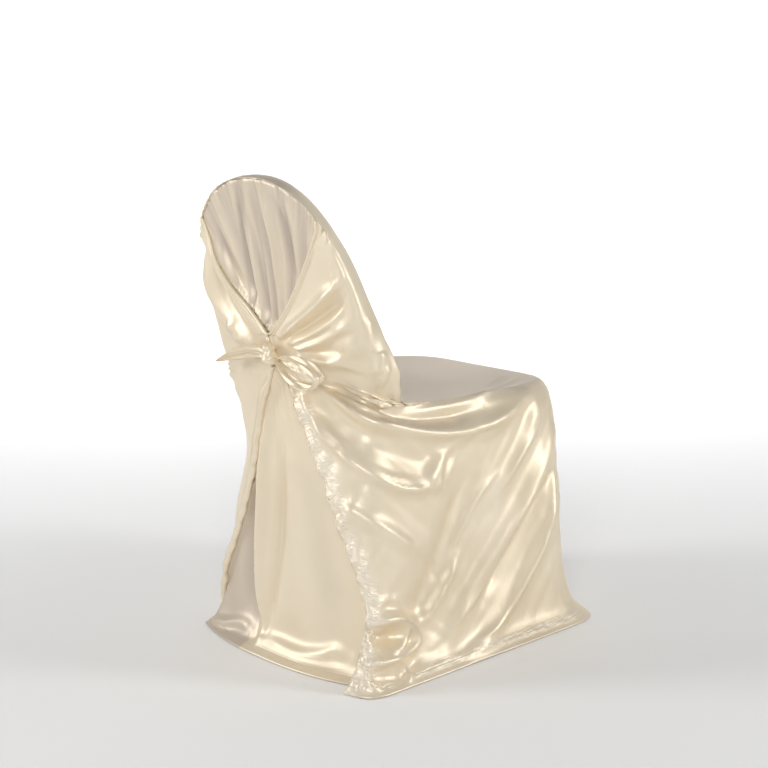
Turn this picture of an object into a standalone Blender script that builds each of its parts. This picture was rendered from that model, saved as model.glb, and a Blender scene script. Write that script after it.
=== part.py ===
"""Chair cover with sash: one cloth over the chair, a gathered rear panel, and the tie with its knot.

Metres, +Z up.  The chair's front faces -Y and its back +Y.  "near" is the -X side, "far" the +X side.
The chair itself is left out, so the cover is a hollow shell that hangs as it does over the chair.
"""
import math

import bpy
import numpy as np
from mathutils import Matrix

CLOTH = 0.002
# middle of the cover's outline on the floor, moved to the origin at the end
MIDDLE = (-0.019, 0.0085, 0.0)

# the tie.  Knot: height of each ring above its centre, and the ring's radius
KNOT = dict(centre=(-0.020, 0.3104, 0.565), depth=0.92, tilt=0.006)
KNOT_RINGS = [
    (-0.0110, 0.0058), (-0.0072, 0.0102), (0.0000, 0.0126), (0.0072, 0.0102),
    (0.0118, 0.0076), (0.0155, 0.0072), (0.0200, 0.0084), (0.0245, 0.0078), (0.0285, 0.0050),
]
# free end: centre, half width, half thickness, and turn about its length in degrees
TAIL = [
    dict(at=(-0.0070, 0.3095, 0.569), wide=0.0045, thick=0.0030, turn=0),
    dict(at=(0.010, 0.3085, 0.573), wide=0.0095, thick=0.0042, turn=4),
    dict(at=(0.042, 0.3055, 0.570), wide=0.0142, thick=0.0046, turn=8),
    dict(at=(0.070, 0.3030, 0.564), wide=0.0142, thick=0.0042, turn=10),
    dict(at=(0.098, 0.3010, 0.556), wide=0.0115, thick=0.0036, turn=6),
    dict(at=(0.124, 0.2995, 0.548), wide=0.0075, thick=0.0030, turn=0),
    dict(at=(0.146, 0.2985, 0.540), wide=0.0045, thick=0.0022, turn=-6),
    dict(at=(0.161, 0.2975, 0.535), wide=0.0018, thick=0.0012, turn=-8),
]
# loop of the bow: centre line, half width across the band, and how far the band leans
LOOP = [
    dict(at=(-0.0324, 0.3095, 0.5690), wide=0.0040, lean=0),
    dict(at=(-0.056, 0.3095, 0.5715), wide=0.0080, lean=20),
    dict(at=(-0.092, 0.3090, 0.5700), wide=0.0105, lean=28),
    dict(at=(-0.126, 0.3070, 0.5600), wide=0.0110, lean=25),
    dict(at=(-0.147, 0.3060, 0.5460), wide=0.0105, lean=10),
    dict(at=(-0.136, 0.3060, 0.5290), wide=0.0105, lean=-10),
    dict(at=(-0.106, 0.3065, 0.5230), wide=0.0105, lean=-25),
    dict(at=(-0.066, 0.3080, 0.5360), wide=0.0080, lean=-20),
    dict(at=(-0.0324, 0.3095, 0.5605), wide=0.0040, lean=0),
]

# sizes of the chair that the cover was fitted over, metres
BACK_TOP = 0.888
REAR_AT_TOP = 0.338
LEAN = 0.287
BACK_DEPTH = 0.047
RIM = {
    'near_rear': dict(centre=0.640, half=0.217, rise=0.248, power=2.2),
    'far_rear': dict(centre=0.640, half=0.225, rise=0.248, power=2.2),
    'near_front': dict(centre=0.600, half=0.205, rise=0.285, power=2.0),
    'far_front': dict(centre=0.600, half=0.208, rise=0.285, power=2.0),
}

# rows of the cover, floor to seat.  half: side, rear: rear corner's y, cut: size of the rounded corner
ROWS = [
    # z, front, how far the front corners lie inside; near and far: half, rear, rear cut, front cut, edge
    dict(z=0.0025, front=-0.322, inside=0.014, near=(0.306, 0.322, 0.05, 0.09, (-0.245, 0.339, 0.0025)),
         far=(0.268, 0.236, 0.05, 0.08, (0.212, 0.250, 0.0025))),
    dict(z=0.010, front=-0.314, inside=0.010, near=(0.293, 0.314, 0.05, 0.09, (-0.246, 0.330, 0.012)),
         far=(0.258, 0.230, 0.05, 0.09, (0.209, 0.250, 0.010))),
    dict(z=0.032, front=-0.302, inside=0.004, near=(0.271, 0.300, 0.06, 0.10, (-0.247, 0.312, 0.044)),
         far=(0.250, 0.222, 0.05, 0.10, (0.203, 0.254, 0.036))),
    dict(z=0.120, front=-0.296, inside=0.0, near=(0.255, 0.286, 0.08, 0.13, (-0.246, 0.288, 0.140)),
         far=(0.240, 0.208, 0.05, 0.12, (0.160, 0.284, 0.120))),
    dict(z=0.240, front=-0.290, inside=0.0, near=(0.249, 0.282, 0.08, 0.13, (-0.190, 0.290, 0.260)),
         far=(0.228, 0.212, 0.06, 0.13, (0.099, 0.288, 0.240))),
    dict(z=0.350, front=-0.287, inside=0.0, near=(0.243, 0.276, 0.08, 0.15, (-0.128, 0.292, 0.375)),
         far=(0.214, 0.198, 0.07, 0.15, (0.058, 0.290, 0.345))),
    dict(z=0.430, front=-0.284, inside=0.0, near=(0.235, 0.262, 0.07, 0.17, (-0.077, 0.293, 0.460)),
         far=(0.214, 0.218, 0.07, 0.17, (0.038, 0.291, 0.430))),
    dict(z=0.464, front=-0.279, inside=0.0, near=(0.225, 0.250, 0.05, 0.19, (-0.056, 0.293, 0.500)),
         far=(0.216, 0.228, 0.05, 0.19, (0.021, 0.292, 0.480))),
]
SEAT = [
    # z, front, near: half, rear y, rear z, front cut, edge; far: the same
    dict(z=0.477, front=-0.262, near=(0.212, 0.243, 0.490, 0.19, (-0.044, 0.294, 0.522)),
         far=(0.214, 0.234, 0.490, 0.17, (0.009, 0.294, 0.510))),
    dict(z=0.478, front=-0.160, near=(0.208, 0.240, 0.504, 0.12, (-0.037, 0.295, 0.536)),
         far=(0.212, 0.238, 0.504, 0.10, (0.002, 0.295, 0.528))),
    dict(z=0.477, front=-0.010, near=(0.206, 0.240, 0.515, 0.06, (-0.031, 0.296, 0.547)),
         far=(0.212, 0.240, 0.515, 0.06, (-0.003, 0.296, 0.540))),
    dict(z=0.480, front=0.135, near=(0.206, 0.241, 0.528, 0.03, (-0.026, 0.297, 0.557)),
         far=(0.212, 0.241, 0.528, 0.03, (-0.008, 0.297, 0.553))),
]
HOOD = [
    # height in the middle, fullness, over the band; near and far: crossing height, share up the V edge
    dict(top=0.505, full=2.0, over=0.0, near=(0.548, 0.00, 0.020), far=(0.548, 0.00, 0.004)),
    dict(top=0.560, full=2.0, over=0.0, near=(0.582, 0.02, 0.016), far=(0.582, 0.02, 0.002)),
    dict(top=0.660, full=2.0, over=0.0, near=(0.630, 0.08, 0.005), far=(0.628, 0.08, 0.0)),
    dict(top=0.750, full=2.4, over=0.0, near=(0.680, 0.26, 0.0), far=(0.676, 0.26, 0.0)),
    dict(top=0.825, full=3.2, over=0.0, near=(0.728, 0.48, 0.0), far=(0.722, 0.48, 0.0)),
    dict(top=0.873, full=5.0, over=0.0, near=(0.766, 0.68, 0.0), far=(0.756, 0.68, 0.0)),
    dict(top=0.885, full=9.0, over=0.06, near=(0.782, 0.78, 0.0), far=(0.770, 0.78, 0.0)),
    dict(top=0.888, full=9.0, over=0.35, near=(0.796, 0.86, 0.0), far=(0.784, 0.86, 0.0)),
    dict(top=0.888, full=9.0, over=0.70, near=(0.810, 0.93, 0.0), far=(0.796, 0.93, 0.0)),
    dict(top=0.888, full=9.0, over=1.00, near=(0.822, 1.00, 0.0), far=(0.806, 1.00, 0.0)),
]
VEE = {
    'near': [(-0.001, 0.298, 0.602), (-0.048, 0.297, 0.655), (-0.110, 0.306, 0.735), (-0.166, 0.319, 0.822)],
    'far': [(0.003, 0.298, 0.602), (0.062, 0.292, 0.648), (0.130, 0.296, 0.708), (0.180, 0.314, 0.806)],
}
# columns from the free edge: over the wing, the side, and the front to the middle
SHARE = {
    'near': dict(skirt=(8, 19, 6), hood=(17, 8, 8)),
    'far': dict(skirt=(5, 11, 6), hood=(9, 5, 8)),
}
# how far each row has moved from the skirt shares to the hood shares
BLEND = [0, 0, 0, 0, 0, 0, 0.05, 0.15, 0.3, 0.5, 0.7, 0.9, 1, 1, 1, 1, 1, 1, 1, 1, 1, 1]
# steps between rows
STEPS = [1, 1, 3, 3, 4, 4, 2, 1, 2, 2, 2, 1, 1, 3, 3, 2, 2, 1, 1, 1, 1]


def rear_y(z):
    return REAR_AT_TOP - LEAN * (BACK_TOP - z)


def front_y(z):
    return rear_y(z) - BACK_DEPTH


def rim_half(rim, z):
    t = np.clip((np.asarray(z, float) - rim['centre']) / rim['rise'], 0, 1)
    return rim['half'] * (1 - t ** rim['power']) ** (1 / rim['power'])


def rim_point(rim, y_at, angle, sign):
    c, s = np.maximum(np.cos(angle), 0), np.sin(angle)
    x = rim['half'] * c ** (2 / rim['power'])
    z = rim['centre'] + rim['rise'] * s ** (2 / rim['power'])
    return np.stack([sign * x, y_at(z), z], -1)


def rim_angle(rim, z):
    t = np.clip((z - rim['centre']) / rim['rise'], 0, 1)
    return np.arcsin(t ** (rim['power'] / 2))


def rounded(points, cuts, steps=8):
    """A line of points with its inner corners rounded."""
    p = [np.array(q, float) for q in points]
    out = [p[0]]
    for i, cut in enumerate(cuts):
        a, b, c = p[i], p[i + 1], p[i + 2]
        la, lc = np.linalg.norm(a - b), np.linalg.norm(c - b)
        s = b + (a - b) * min(cut, 0.49 * la) / la
        e = b + (c - b) * min(cut, 0.49 * lc) / lc
        t = np.linspace(0, 1, steps + 1)[:, None]
        out.extend((1 - t) ** 2 * s + 2 * t * (1 - t) * b + t * t * e)
    out.append(p[-1])
    return np.array(out)


def lengths(line):
    return np.concatenate([[0], np.cumsum(np.linalg.norm(np.diff(line, axis=0), axis=1))])


def smooth_line(points, count):
    """A smooth curve through points, count of them, evenly spaced."""
    p = np.array(points, float)
    p = np.concatenate([[2 * p[0] - p[1]], p, [2 * p[-1] - p[-2]]])
    out = []
    for i in range(1, len(p) - 2):
        t = np.linspace(0, 1, 17)[:-1, None]
        a, b, c, d = p[i - 1], p[i], p[i + 1], p[i + 2]
        out.extend(b + 0.5 * t * (c - a + t * (2*a - 5*b + 4*c - d + t * (3*(b - c) + d - a))))
    out.append(p[-2])
    out = np.array(out)
    s = lengths(out)
    at = np.linspace(0, s[-1], count)
    return np.stack([np.interp(at, s, out[:, k]) for k in range(p.shape[1])], -1)


def nearest(line, point):
    return lengths(line)[np.argmin(np.linalg.norm(line - np.array(point), axis=1))]


def spread(line, marks, share, columns):
    """Points along a line; share says how many columns lie between the marks."""
    s = lengths(line)
    count = np.linspace(0, sum(share), columns + 1)
    at = np.interp(count, np.concatenate([[0], np.cumsum(share)]), marks)
    return np.stack([np.interp(at, s, line[:, k]) for k in range(3)], -1)


def skirt_line(row, side):
    sign = -1 if side == 'near' else 1
    half, rear, cut_r, cut_f, edge = row[side]
    z, front = row['z'], row['front']
    corner, nose = (sign * half, rear, z), (sign * (half - row['inside']), front, z)
    line = rounded([edge, corner, nose, (0, front, z)], [cut_r, cut_f])
    return line, [0, nearest(line, corner), nearest(line, nose), lengths(line)[-1]]


def seat_line(row, side):
    sign = -1 if side == 'near' else 1
    half, rear, rear_z, cut_f, edge = row[side]
    z, front = row['z'], row['front']
    corner, nose = (sign * (half + 0.004), rear, rear_z), (sign * half, front, z)
    foot_y = max(min(0.165, rear - 0.02), front + 0.01)
    foot = (sign * half, foot_y, z + 0.25 * (rear_z - z))
    line = rounded([edge, corner, foot, nose, (0, front, z)], [0.03, 0.04, cut_f])
    a, b = nearest(line, corner), nearest(line, nose)
    return line, [0, a, max(b, a + 0.09), lengths(line)[-1]]


def hood_line(row, side):
    sign = -1 if side == 'near' else 1
    cross, share, flare = row[side]
    rim_r, rim_f = RIM[side + '_rear'], RIM[side + '_front']
    vee = smooth_line(VEE[side], 41)
    edge = vee[int(round(share * 40))]
    rear = np.array([sign * rim_half(rim_r, cross), rear_y(cross), cross])
    front = np.array([sign * (rim_half(rim_f, cross) + flare), front_y(cross) - 0.5 * flare, cross])
    if row['over'] <= 0:
        lam = np.linspace(1, 0, 40)
        z = cross + (row['top'] - cross) * (1 - lam ** row['full']) ** (1 / 1.6)
        x = sign * (rim_half(rim_f, z) + flare) * lam
        y = front_y(z) - 0.5 * flare - 0.010 * (1 - lam ** 2)
        arch = np.stack([x, y, z], -1)
        line = np.concatenate([rounded([edge, rear, front, arch[1]], [0.02, 0.02])[:-1], arch[1:]])
    else:
        t = np.linspace(0, 1, 40)
        start_r, start_f = rim_angle(rim_r, cross), rim_angle(rim_f, cross)
        rear_rim = rim_point(rim_r, rear_y, start_r + (np.pi / 2 - start_r) * t, sign)
        front_rim = rim_point(rim_f, front_y, start_f + (np.pi / 2 - start_f) * t, sign)
        w = (row['over'] + (1 - row['over']) * np.exp(-t / 0.12))[:, None]
        line = front_rim + (rear_rim - front_rim) * w
        out = line - np.array([0, 0, 0.62])
        out[:, 1] = 0
        line = line + out / np.linalg.norm(out, axis=1)[:, None] * 0.006 * np.sin(np.pi * w)
        if share < 1:
            line = np.concatenate([[edge], line])
    s = lengths(line)
    a = max(np.linalg.norm(line[0] - rear), 0.05)
    return line, [0, a, a + 0.09, s[-1]]


def joined_rows(rows, steps, scale):
    """Rows joined by a smooth curve down each column, with steps between rows."""
    p = np.array(rows)
    gaps = np.linalg.norm(np.diff(p, axis=0), axis=2).mean(1)
    t = np.concatenate([[0], np.cumsum(gaps ** 0.5)])
    slope = np.diff(p, axis=0) / np.diff(t)[:, None, None]
    m = np.concatenate([slope[:1], slope])
    d = np.diff(t)
    for i in range(1, len(p) - 1):
        m[i] = (slope[i - 1] * d[i] + slope[i] * d[i - 1]) / (d[i - 1] + d[i])
    out = [p[0]]
    for i, count in enumerate(steps):
        for s in np.linspace(0, 1, count * scale + 1)[1:]:
            out.append((2*s**3 - 3*s**2 + 1) * p[i] + (s**3 - 2*s**2 + s) * d[i] * m[i]
                       + (3*s**2 - 2*s**3) * p[i + 1] + (s**3 - s**2) * d[i] * m[i + 1])
    return np.array(out)


def body_base(scale=1):
    halves = []
    for side in ('near', 'far'):
        share = SHARE[side]
        columns = sum(share['skirt']) * scale
        rows = []
        lines = [skirt_line(r, side) for r in ROWS] + [seat_line(r, side) for r in SEAT]
        lines = lines + [hood_line(r, side) for r in HOOD]
        for (line, marks), blend in zip(lines, BLEND):
            mix = [a + (b - a) * blend for a, b in zip(share['skirt'], share['hood'])]
            rows.append(spread(line, marks, mix, columns))
        halves.append(rows)
    rows = [np.concatenate([a, b[::-1][1:]]) for a, b in zip(*halves)]
    return joined_rows(rows, STEPS, scale)


# the rear panel.  Each row: z, x and y of the far edge, y of the middle, x and y of the near edge
NECK = dict(z=0.578, y=0.275, x=0.006, half=0.050)
PANEL_SEAM = dict(near=0.806, far=0.790, inset=0.006, sink=0.0085)
PANEL_ROWS = [
    dict(z=0.540, far=(0.052, 0.271), mid=0.277, near=(-0.055, 0.270)),
    dict(z=0.470, far=(0.070, 0.270), mid=0.275, near=(-0.100, 0.264)),
    dict(z=0.370, far=(0.082, 0.268), mid=0.276, near=(-0.160, 0.262)),
    dict(z=0.270, far=(0.104, 0.270), mid=0.278, near=(-0.212, 0.262)),
    dict(z=0.170, far=(0.144, 0.273), mid=0.282, near=(-0.240, 0.260)),
    dict(z=0.090, far=(0.166, 0.271), mid=0.287, near=(-0.238, 0.260)),
    dict(z=0.040, far=(0.186, 0.282), mid=0.292, near=(-0.244, 0.268)),
    dict(z=0.014, far=(0.196, 0.292), mid=0.310, near=(-0.244, 0.282)),
    dict(z=0.0025, far=(0.214, 0.300), mid=0.338, near=(-0.240, 0.298)),
]
PANEL_STEPS = [3, 3, 2, 2, 2, 2, 2, 2, 2, 1, 1]
PANEL_COLUMNS = 28


def panel_base(scale=1):
    n = PANEL_COLUMNS * scale
    u = np.linspace(-1, 1, n + 1)
    rim_n, rim_f = RIM['near_rear'], RIM['far_rear']
    a_n, a_f = rim_angle(rim_n, PANEL_SEAM['near']), rim_angle(rim_f, PANEL_SEAM['far'])
    seam = []
    for v in u:
        if v < 0:
            seam.append(rim_point(rim_n, rear_y, a_n + (np.pi / 2 - a_n) * (1 + v), -1))
        else:
            seam.append(rim_point(rim_f, rear_y, a_f + (np.pi / 2 - a_f) * (1 - v), 1))
    seam = np.array(seam)
    centre = np.array([0, rear_y(0.62), 0.62])
    inward = centre - seam
    seam = seam + inward / np.linalg.norm(inward, axis=1)[:, None] * PANEL_SEAM['inset']
    seam[:, 1] -= PANEL_SEAM['sink']
    neck = np.stack([NECK['x'] + NECK['half'] * u, NECK['y'] + 0 * u, NECK['z'] + 0 * u], -1)
    middle = seam + (neck - seam) * 0.45
    middle[:, 1] -= 0.009
    rows = [seam, middle, neck]
    for r in PANEL_ROWS:
        (xf, yf), (xn, yn) = r['far'], r['near']
        x = xn + (xf - xn) * (u + 1) / 2
        edge = yn + (yf - yn) * (u + 1) / 2
        y = edge + (r['mid'] - (yn + yf) / 2) * (1 - np.abs(u) ** 2.5)
        rows.append(np.stack([x, y, np.full(n + 1, r['z'])], -1))
    return joined_rows(rows, PANEL_STEPS, scale)


# folds of the cover: path, height, and how wide each is to its left and right looking along the path
FOLDS = [
    dict(height=0.014, left=0.018, right=0.012, path=[(-0.100, 0.278, 0.535), (-0.184, 0.255, 0.484),
        (-0.221, 0.229, 0.463), (-0.236, 0.096, 0.429), (-0.236, -0.040, 0.430),
        (-0.222, -0.160, 0.462)]),
    dict(height=-0.014, left=0.014, right=0.014, path=[(-0.100, 0.270, 0.548), (-0.190, 0.235, 0.500),
        (-0.222, 0.170, 0.470), (-0.228, 0.070, 0.456), (-0.222, -0.020, 0.458)]),
    dict(height=0.012, left=0.016, right=0.014, path=[(-0.081, 0.283, 0.494), (-0.147, 0.281, 0.432),
        (-0.217, 0.262, 0.387), (-0.244, 0.203, 0.349), (-0.245, 0.112, 0.335)]),
    dict(height=-0.012, left=0.024, right=0.022, path=[(-0.150, 0.272, 0.475), (-0.225, 0.220, 0.420),
        (-0.240, 0.140, 0.388), (-0.240, 0.050, 0.385)]),
    dict(height=0.010, left=0.014, right=0.012, path=[(-0.244, 0.140, 0.345), (-0.241, 0.090, 0.395)]),
    dict(height=0.009, left=0.016, right=0.016, path=[(-0.179, 0.287, 0.321), (-0.242, 0.249, 0.284),
        (-0.250, 0.172, 0.230)]),
    dict(height=0.013, left=0.020, right=0.020, path=[(-0.225, -0.225, 0.380), (-0.249, -0.122, 0.267),
        (-0.251, -0.050, 0.203), (-0.256, 0.034, 0.124), (-0.268, 0.115, 0.030)]),
    dict(height=0.014, left=0.020, right=0.020, path=[(-0.235, -0.227, 0.285), (-0.254, -0.134, 0.146),
        (-0.272, -0.009, 0.038), (-0.292, 0.060, 0.007)]),
    dict(height=-0.010, left=0.018, right=0.018, path=[(-0.240, -0.190, 0.300), (-0.252, -0.090, 0.190),
        (-0.258, 0.000, 0.100)]),
    dict(height=-0.012, left=0.032, right=0.030, path=[(-0.240, 0.000, 0.400), (-0.249, 0.069, 0.265),
        (-0.252, 0.109, 0.198), (-0.261, 0.194, 0.069)]),
    dict(height=0.007, left=0.014, right=0.014, path=[(-0.215, -0.180, 0.459), (-0.239, -0.143, 0.399),
        (-0.245, -0.082, 0.332), (-0.248, -0.039, 0.282)]),
    dict(height=0.016, left=0.013, right=0.013, path=[(-0.245, 0.290, 0.122), (-0.256, 0.262, 0.124),
        (-0.262, 0.222, 0.110), (-0.264, 0.204, 0.084), (-0.262, 0.226, 0.062),
        (-0.258, 0.270, 0.056)]),
    dict(height=-0.013, left=0.014, right=0.014, path=[(-0.254, 0.285, 0.092), (-0.260, 0.236, 0.086)]),
    dict(height=0.014, left=0.014, right=0.014, path=[(-0.250, 0.310, 0.060), (-0.270, 0.270, 0.045),
        (-0.280, 0.225, 0.030)]),
    dict(height=0.010, left=0.016, right=0.014, path=[(-0.033, 0.290, 0.600), (-0.104, 0.289, 0.651),
        (-0.175, 0.292, 0.711)]),
    dict(height=0.009, left=0.014, right=0.014, path=[(-0.030, 0.290, 0.588), (-0.068, 0.284, 0.592),
        (-0.144, 0.277, 0.628), (-0.198, 0.273, 0.651)]),
    dict(height=0.013, left=0.020, right=0.024, path=[(-0.041, 0.286, 0.571), (-0.129, 0.266, 0.571),
        (-0.214, 0.251, 0.625)]),
    dict(height=-0.008, left=0.014, right=0.014, path=[(-0.060, 0.285, 0.610), (-0.130, 0.280, 0.650),
        (-0.195, 0.278, 0.690)]),
    dict(height=0.009, left=0.014, right=0.014, path=[(-0.217, 0.226, 0.596), (-0.217, 0.231, 0.552)]),
    dict(height=0.010, left=0.012, right=0.012, path=[(-0.214, 0.190, 0.520), (-0.222, 0.170, 0.480)]),
    dict(height=0.009, left=0.012, right=0.012, path=[(0.170, 0.300, 0.770), (0.110, 0.292, 0.680),
        (0.030, 0.292, 0.606)]),
    dict(height=-0.009, left=0.016, right=0.016, path=[(0.200, 0.290, 0.760), (0.160, 0.280, 0.680),
        (0.060, 0.280, 0.585)]),
    dict(height=0.009, left=0.016, right=0.016, path=[(0.215, 0.280, 0.720), (0.190, 0.270, 0.640),
        (0.080, 0.275, 0.565)]),
    dict(height=0.011, left=0.020, right=0.020, path=[(0.200, 0.150, 0.440), (0.215, 0.000, 0.410),
        (0.215, -0.140, 0.440)]),
    dict(height=0.014, left=0.028, right=0.028, path=[(0.215, 0.150, 0.330), (0.235, 0.020, 0.180),
        (0.260, -0.080, 0.040)]),
    dict(height=0.012, left=0.028, right=0.028, path=[(0.220, -0.150, 0.400), (0.245, -0.180, 0.200),
        (0.270, -0.200, 0.030)]),
]
# upright folds that open toward the hem of the front: place across, height, width
FLUTES = [
    dict(x=-0.150, height=0.010, width=0.030), dict(x=-0.075, height=-0.009, width=0.030),
    dict(x=-0.005, height=0.011, width=0.032), dict(x=0.070, height=-0.009, width=0.030),
    dict(x=0.150, height=0.012, width=0.034),
]
# pleats of the rear panel: place across at the seam and at the neck, height, width
PLEATS = [
    dict(top=-0.80, foot=-0.95, height=0.005, width=0.060),
    dict(top=-0.66, foot=-0.88, height=-0.006, width=0.060),
    dict(top=-0.50, foot=-0.78, height=0.006, width=0.060),
    dict(top=-0.36, foot=-0.66, height=-0.008, width=0.050),
    dict(top=-0.26, foot=-0.50, height=0.007, width=0.050),
    dict(top=-0.10, foot=-0.26, height=0.005, width=0.050),
    dict(top=0.01, foot=-0.10, height=-0.009, width=0.050),
    dict(top=0.08, foot=0.04, height=0.006, width=0.040),
    dict(top=0.16, foot=0.18, height=-0.008, width=0.045),
    dict(top=0.27, foot=0.34, height=0.006, width=0.050),
    dict(top=0.42, foot=0.50, height=-0.005, width=0.060),
    dict(top=0.58, foot=0.66, height=0.006, width=0.060),
    dict(top=0.76, foot=0.84, height=-0.005, width=0.060),
]
# folds of the panel below the tie
PANEL_FOLDS = [
    dict(height=0.011, left=0.040, right=0.013, path=[(0.030, 0.275, 0.520), (0.042, 0.275, 0.394),
        (0.044, 0.278, 0.278), (0.044, 0.280, 0.163), (0.034, 0.287, 0.088), (0.024, 0.310, 0.020)]),
    dict(height=-0.008, left=0.014, right=0.022, path=[(0.072, 0.270, 0.330), (0.078, 0.272, 0.250),
        (0.082, 0.278, 0.163), (0.080, 0.287, 0.088), (0.070, 0.300, 0.040)]),
    dict(height=-0.005, left=0.012, right=0.010, path=[(-0.012, 0.277, 0.380), (-0.010, 0.280, 0.250),
        (0.006, 0.284, 0.130), (0.018, 0.300, 0.030)]),
    dict(height=0.008, left=0.012, right=0.010, path=[(0.190, 0.300, 0.012), (0.150, 0.300, 0.018),
        (0.100, 0.298, 0.032), (0.060, 0.300, 0.024)]),
    dict(height=0.008, left=0.012, right=0.014, path=[(0.020, 0.305, 0.026), (-0.070, 0.306, 0.022),
        (-0.124, 0.296, 0.031), (-0.160, 0.286, 0.045), (-0.200, 0.280, 0.040)]),
    dict(height=0.005, left=0.030, right=0.030, path=[(-0.020, 0.277, 0.420), (-0.040, 0.280, 0.250),
        (-0.080, 0.285, 0.080)]),
    dict(height=-0.005, left=0.030, right=0.030, path=[(-0.080, 0.277, 0.380), (-0.110, 0.280, 0.230),
        (-0.150, 0.285, 0.090)]),
    dict(height=0.012, left=0.015, right=0.016, path=[(0.156, 0.286, 0.765), (0.120, 0.282, 0.712),
        (0.055, 0.276, 0.650), (0.012, 0.274, 0.614)]),
    dict(height=-0.006, left=0.010, right=0.010, path=[(0.150, 0.290, 0.810), (0.098, 0.282, 0.716),
        (0.044, 0.276, 0.654), (0.008, 0.274, 0.622)]),
]


def surface_normals(p):
    du, dv = np.gradient(p, axis=1), np.gradient(p, axis=0)
    n = np.cross(du, dv)
    return n / np.maximum(np.linalg.norm(n, axis=2), 1e-9)[..., None]


def fold_height(p, normal, fold):
    """How far one fold lifts each point, from the point's distance to the fold's path."""
    line = smooth_line(fold['path'], 25)
    middle, along = (line[1:] + line[:-1]) / 2, np.diff(line, axis=0)
    gap = p[:, :, None, :] - middle
    near = np.linalg.norm(gap, axis=3).argmin(axis=2)
    a, d = line[near], along[near]
    size = (d ** 2).sum(-1)
    t = np.clip(((p - a) * d).sum(-1) / size, 0, 1)
    off = p - a - d * t[..., None]
    side = (np.cross(d, off) * normal).sum(-1)
    width = np.where(side > 0, fold['left'], fold['right'])
    share = (near + t) / len(along)
    ends = np.clip(np.minimum(share, 1 - share) / 0.2, 0, 1)
    ends = 0.35 + 0.65 * ends * ends * (3 - 2 * ends)
    return fold['height'] * ends * np.exp(-(off ** 2).sum(-1) / width ** 2)


def body_surface(scale=1):
    p = body_base(scale)
    normal = surface_normals(p)
    lift = sum(fold_height(p, normal, fold) for fold in FOLDS)
    face = np.clip(-normal[..., 1], 0, 1) * np.clip((0.44 - p[..., 2]) / 0.3, 0, 1)
    for flute in FLUTES:
        lift = lift + flute['height'] * face * np.exp(-((p[..., 0] - flute['x']) / flute['width']) ** 2)
    lift = lift * np.clip((p[..., 2] - 0.002) / 0.010, 0.0, 1)
    return p + normal * lift[..., None]


def panel_surface(scale=1):
    p = panel_base(scale)
    normal = surface_normals(p)
    rows, columns = p.shape[:2]
    u = np.linspace(-1, 1, columns)[None, :]
    neck_row = (PANEL_STEPS[0] + PANEL_STEPS[1]) * scale
    v = np.arange(rows)[:, None] / neck_row
    lift = np.zeros((rows, columns))
    for pleat in PLEATS:
        centre = pleat['top'] + (pleat['foot'] - pleat['top']) * np.clip(v, 0, 1.3)
        reach = np.clip(0.35 + 2 * v, 0, 1) * np.clip((1.6 - v) / 0.8, 0, 1)
        lift = lift + pleat['height'] * reach * np.exp(-((u - centre) / pleat['width']) ** 2)
    lift = lift + sum(fold_height(p, normal, fold) for fold in PANEL_FOLDS)
    lift = lift * np.clip((p[..., 2] - 0.002) / 0.010, 0.0, 1)
    return p + normal * lift[..., None]


def lofted_rings(rings):
    """Points and faces of a closed body through rings of equal count, with both ends closed."""
    count = len(rings[0])
    points = [tuple(q) for ring in rings for q in ring]
    faces = []
    for i in range(len(rings) - 1):
        for j in range(count):
            k = (j + 1) % count
            faces.append((i * count + j, i * count + k, (i + 1) * count + k, (i + 1) * count + j))
    points.append(tuple(np.mean(rings[0], axis=0)))
    points.append(tuple(np.mean(rings[-1], axis=0)))
    last = (len(rings) - 1) * count
    for j in range(count):
        k = (j + 1) % count
        faces.append((len(points) - 2, k, j))
        faces.append((len(points) - 1, last + j, last + k))
    return points, faces


def knot_body(segments=14):
    centre = np.array(KNOT['centre'])
    rings = []
    for height, radius in KNOT_RINGS:
        turn = np.linspace(0, 2 * np.pi, segments, endpoint=False)
        x = radius * np.cos(turn) + KNOT['tilt'] * height / 0.03
        ring = np.stack([x, KNOT['depth'] * radius * np.sin(turn), 0 * turn + height], -1)
        rings.append(ring + centre)
    return lofted_rings(rings)


def tail_body(segments=12, steps=20):
    at = smooth_line([s['at'] for s in TAIL], steps)
    share = lengths(np.array([s['at'] for s in TAIL]))
    share = share / share[-1] * (steps - 1)
    along = np.gradient(at, axis=0)
    rings = []
    for i in range(steps):
        wide = np.interp(i, share, [s['wide'] for s in TAIL])
        thick = np.interp(i, share, [s['thick'] for s in TAIL])
        lean = math.radians(np.interp(i, share, [s['turn'] for s in TAIL]))
        d = along[i] / np.linalg.norm(along[i])
        out = np.array([0.0, 1.0, 0.0])
        out = out - d * out.dot(d)
        out = out / np.linalg.norm(out)
        up = np.cross(out, d)
        out, up = out * math.cos(lean) + up * math.sin(lean), up * math.cos(lean) - out * math.sin(lean)
        turn = np.linspace(0, 2 * np.pi, segments, endpoint=False)
        across = np.cos(turn)
        body = thick * np.sin(turn) * (1 + 0.35 * np.cos(3 * np.pi * across))
        rings.append(at[i] + across[:, None] * wide * up + body[:, None] * out)
    return lofted_rings(rings)


def loop_band(steps=26, across=5):
    at = smooth_line([s['at'] for s in LOOP], steps)
    share = lengths(np.array([s['at'] for s in LOOP]))
    share = share / share[-1] * (steps - 1)
    along = np.gradient(at, axis=0)
    grid = []
    for i in range(steps):
        wide = np.interp(i, share, [s['wide'] for s in LOOP])
        lean = math.radians(np.interp(i, share, [s['lean'] for s in LOOP]))
        d = along[i] / np.linalg.norm(along[i])
        out = np.array([0.0, 1.0, 0.0])
        out = out - d * out.dot(d)
        out = out / np.linalg.norm(out)
        side = np.cross(d, out)
        reach = np.linspace(-1, 1, across)[:, None] * wide
        grid.append(at[i] + reach * (out * math.cos(lean) + side * math.sin(lean)))
    return np.array(grid)


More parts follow.
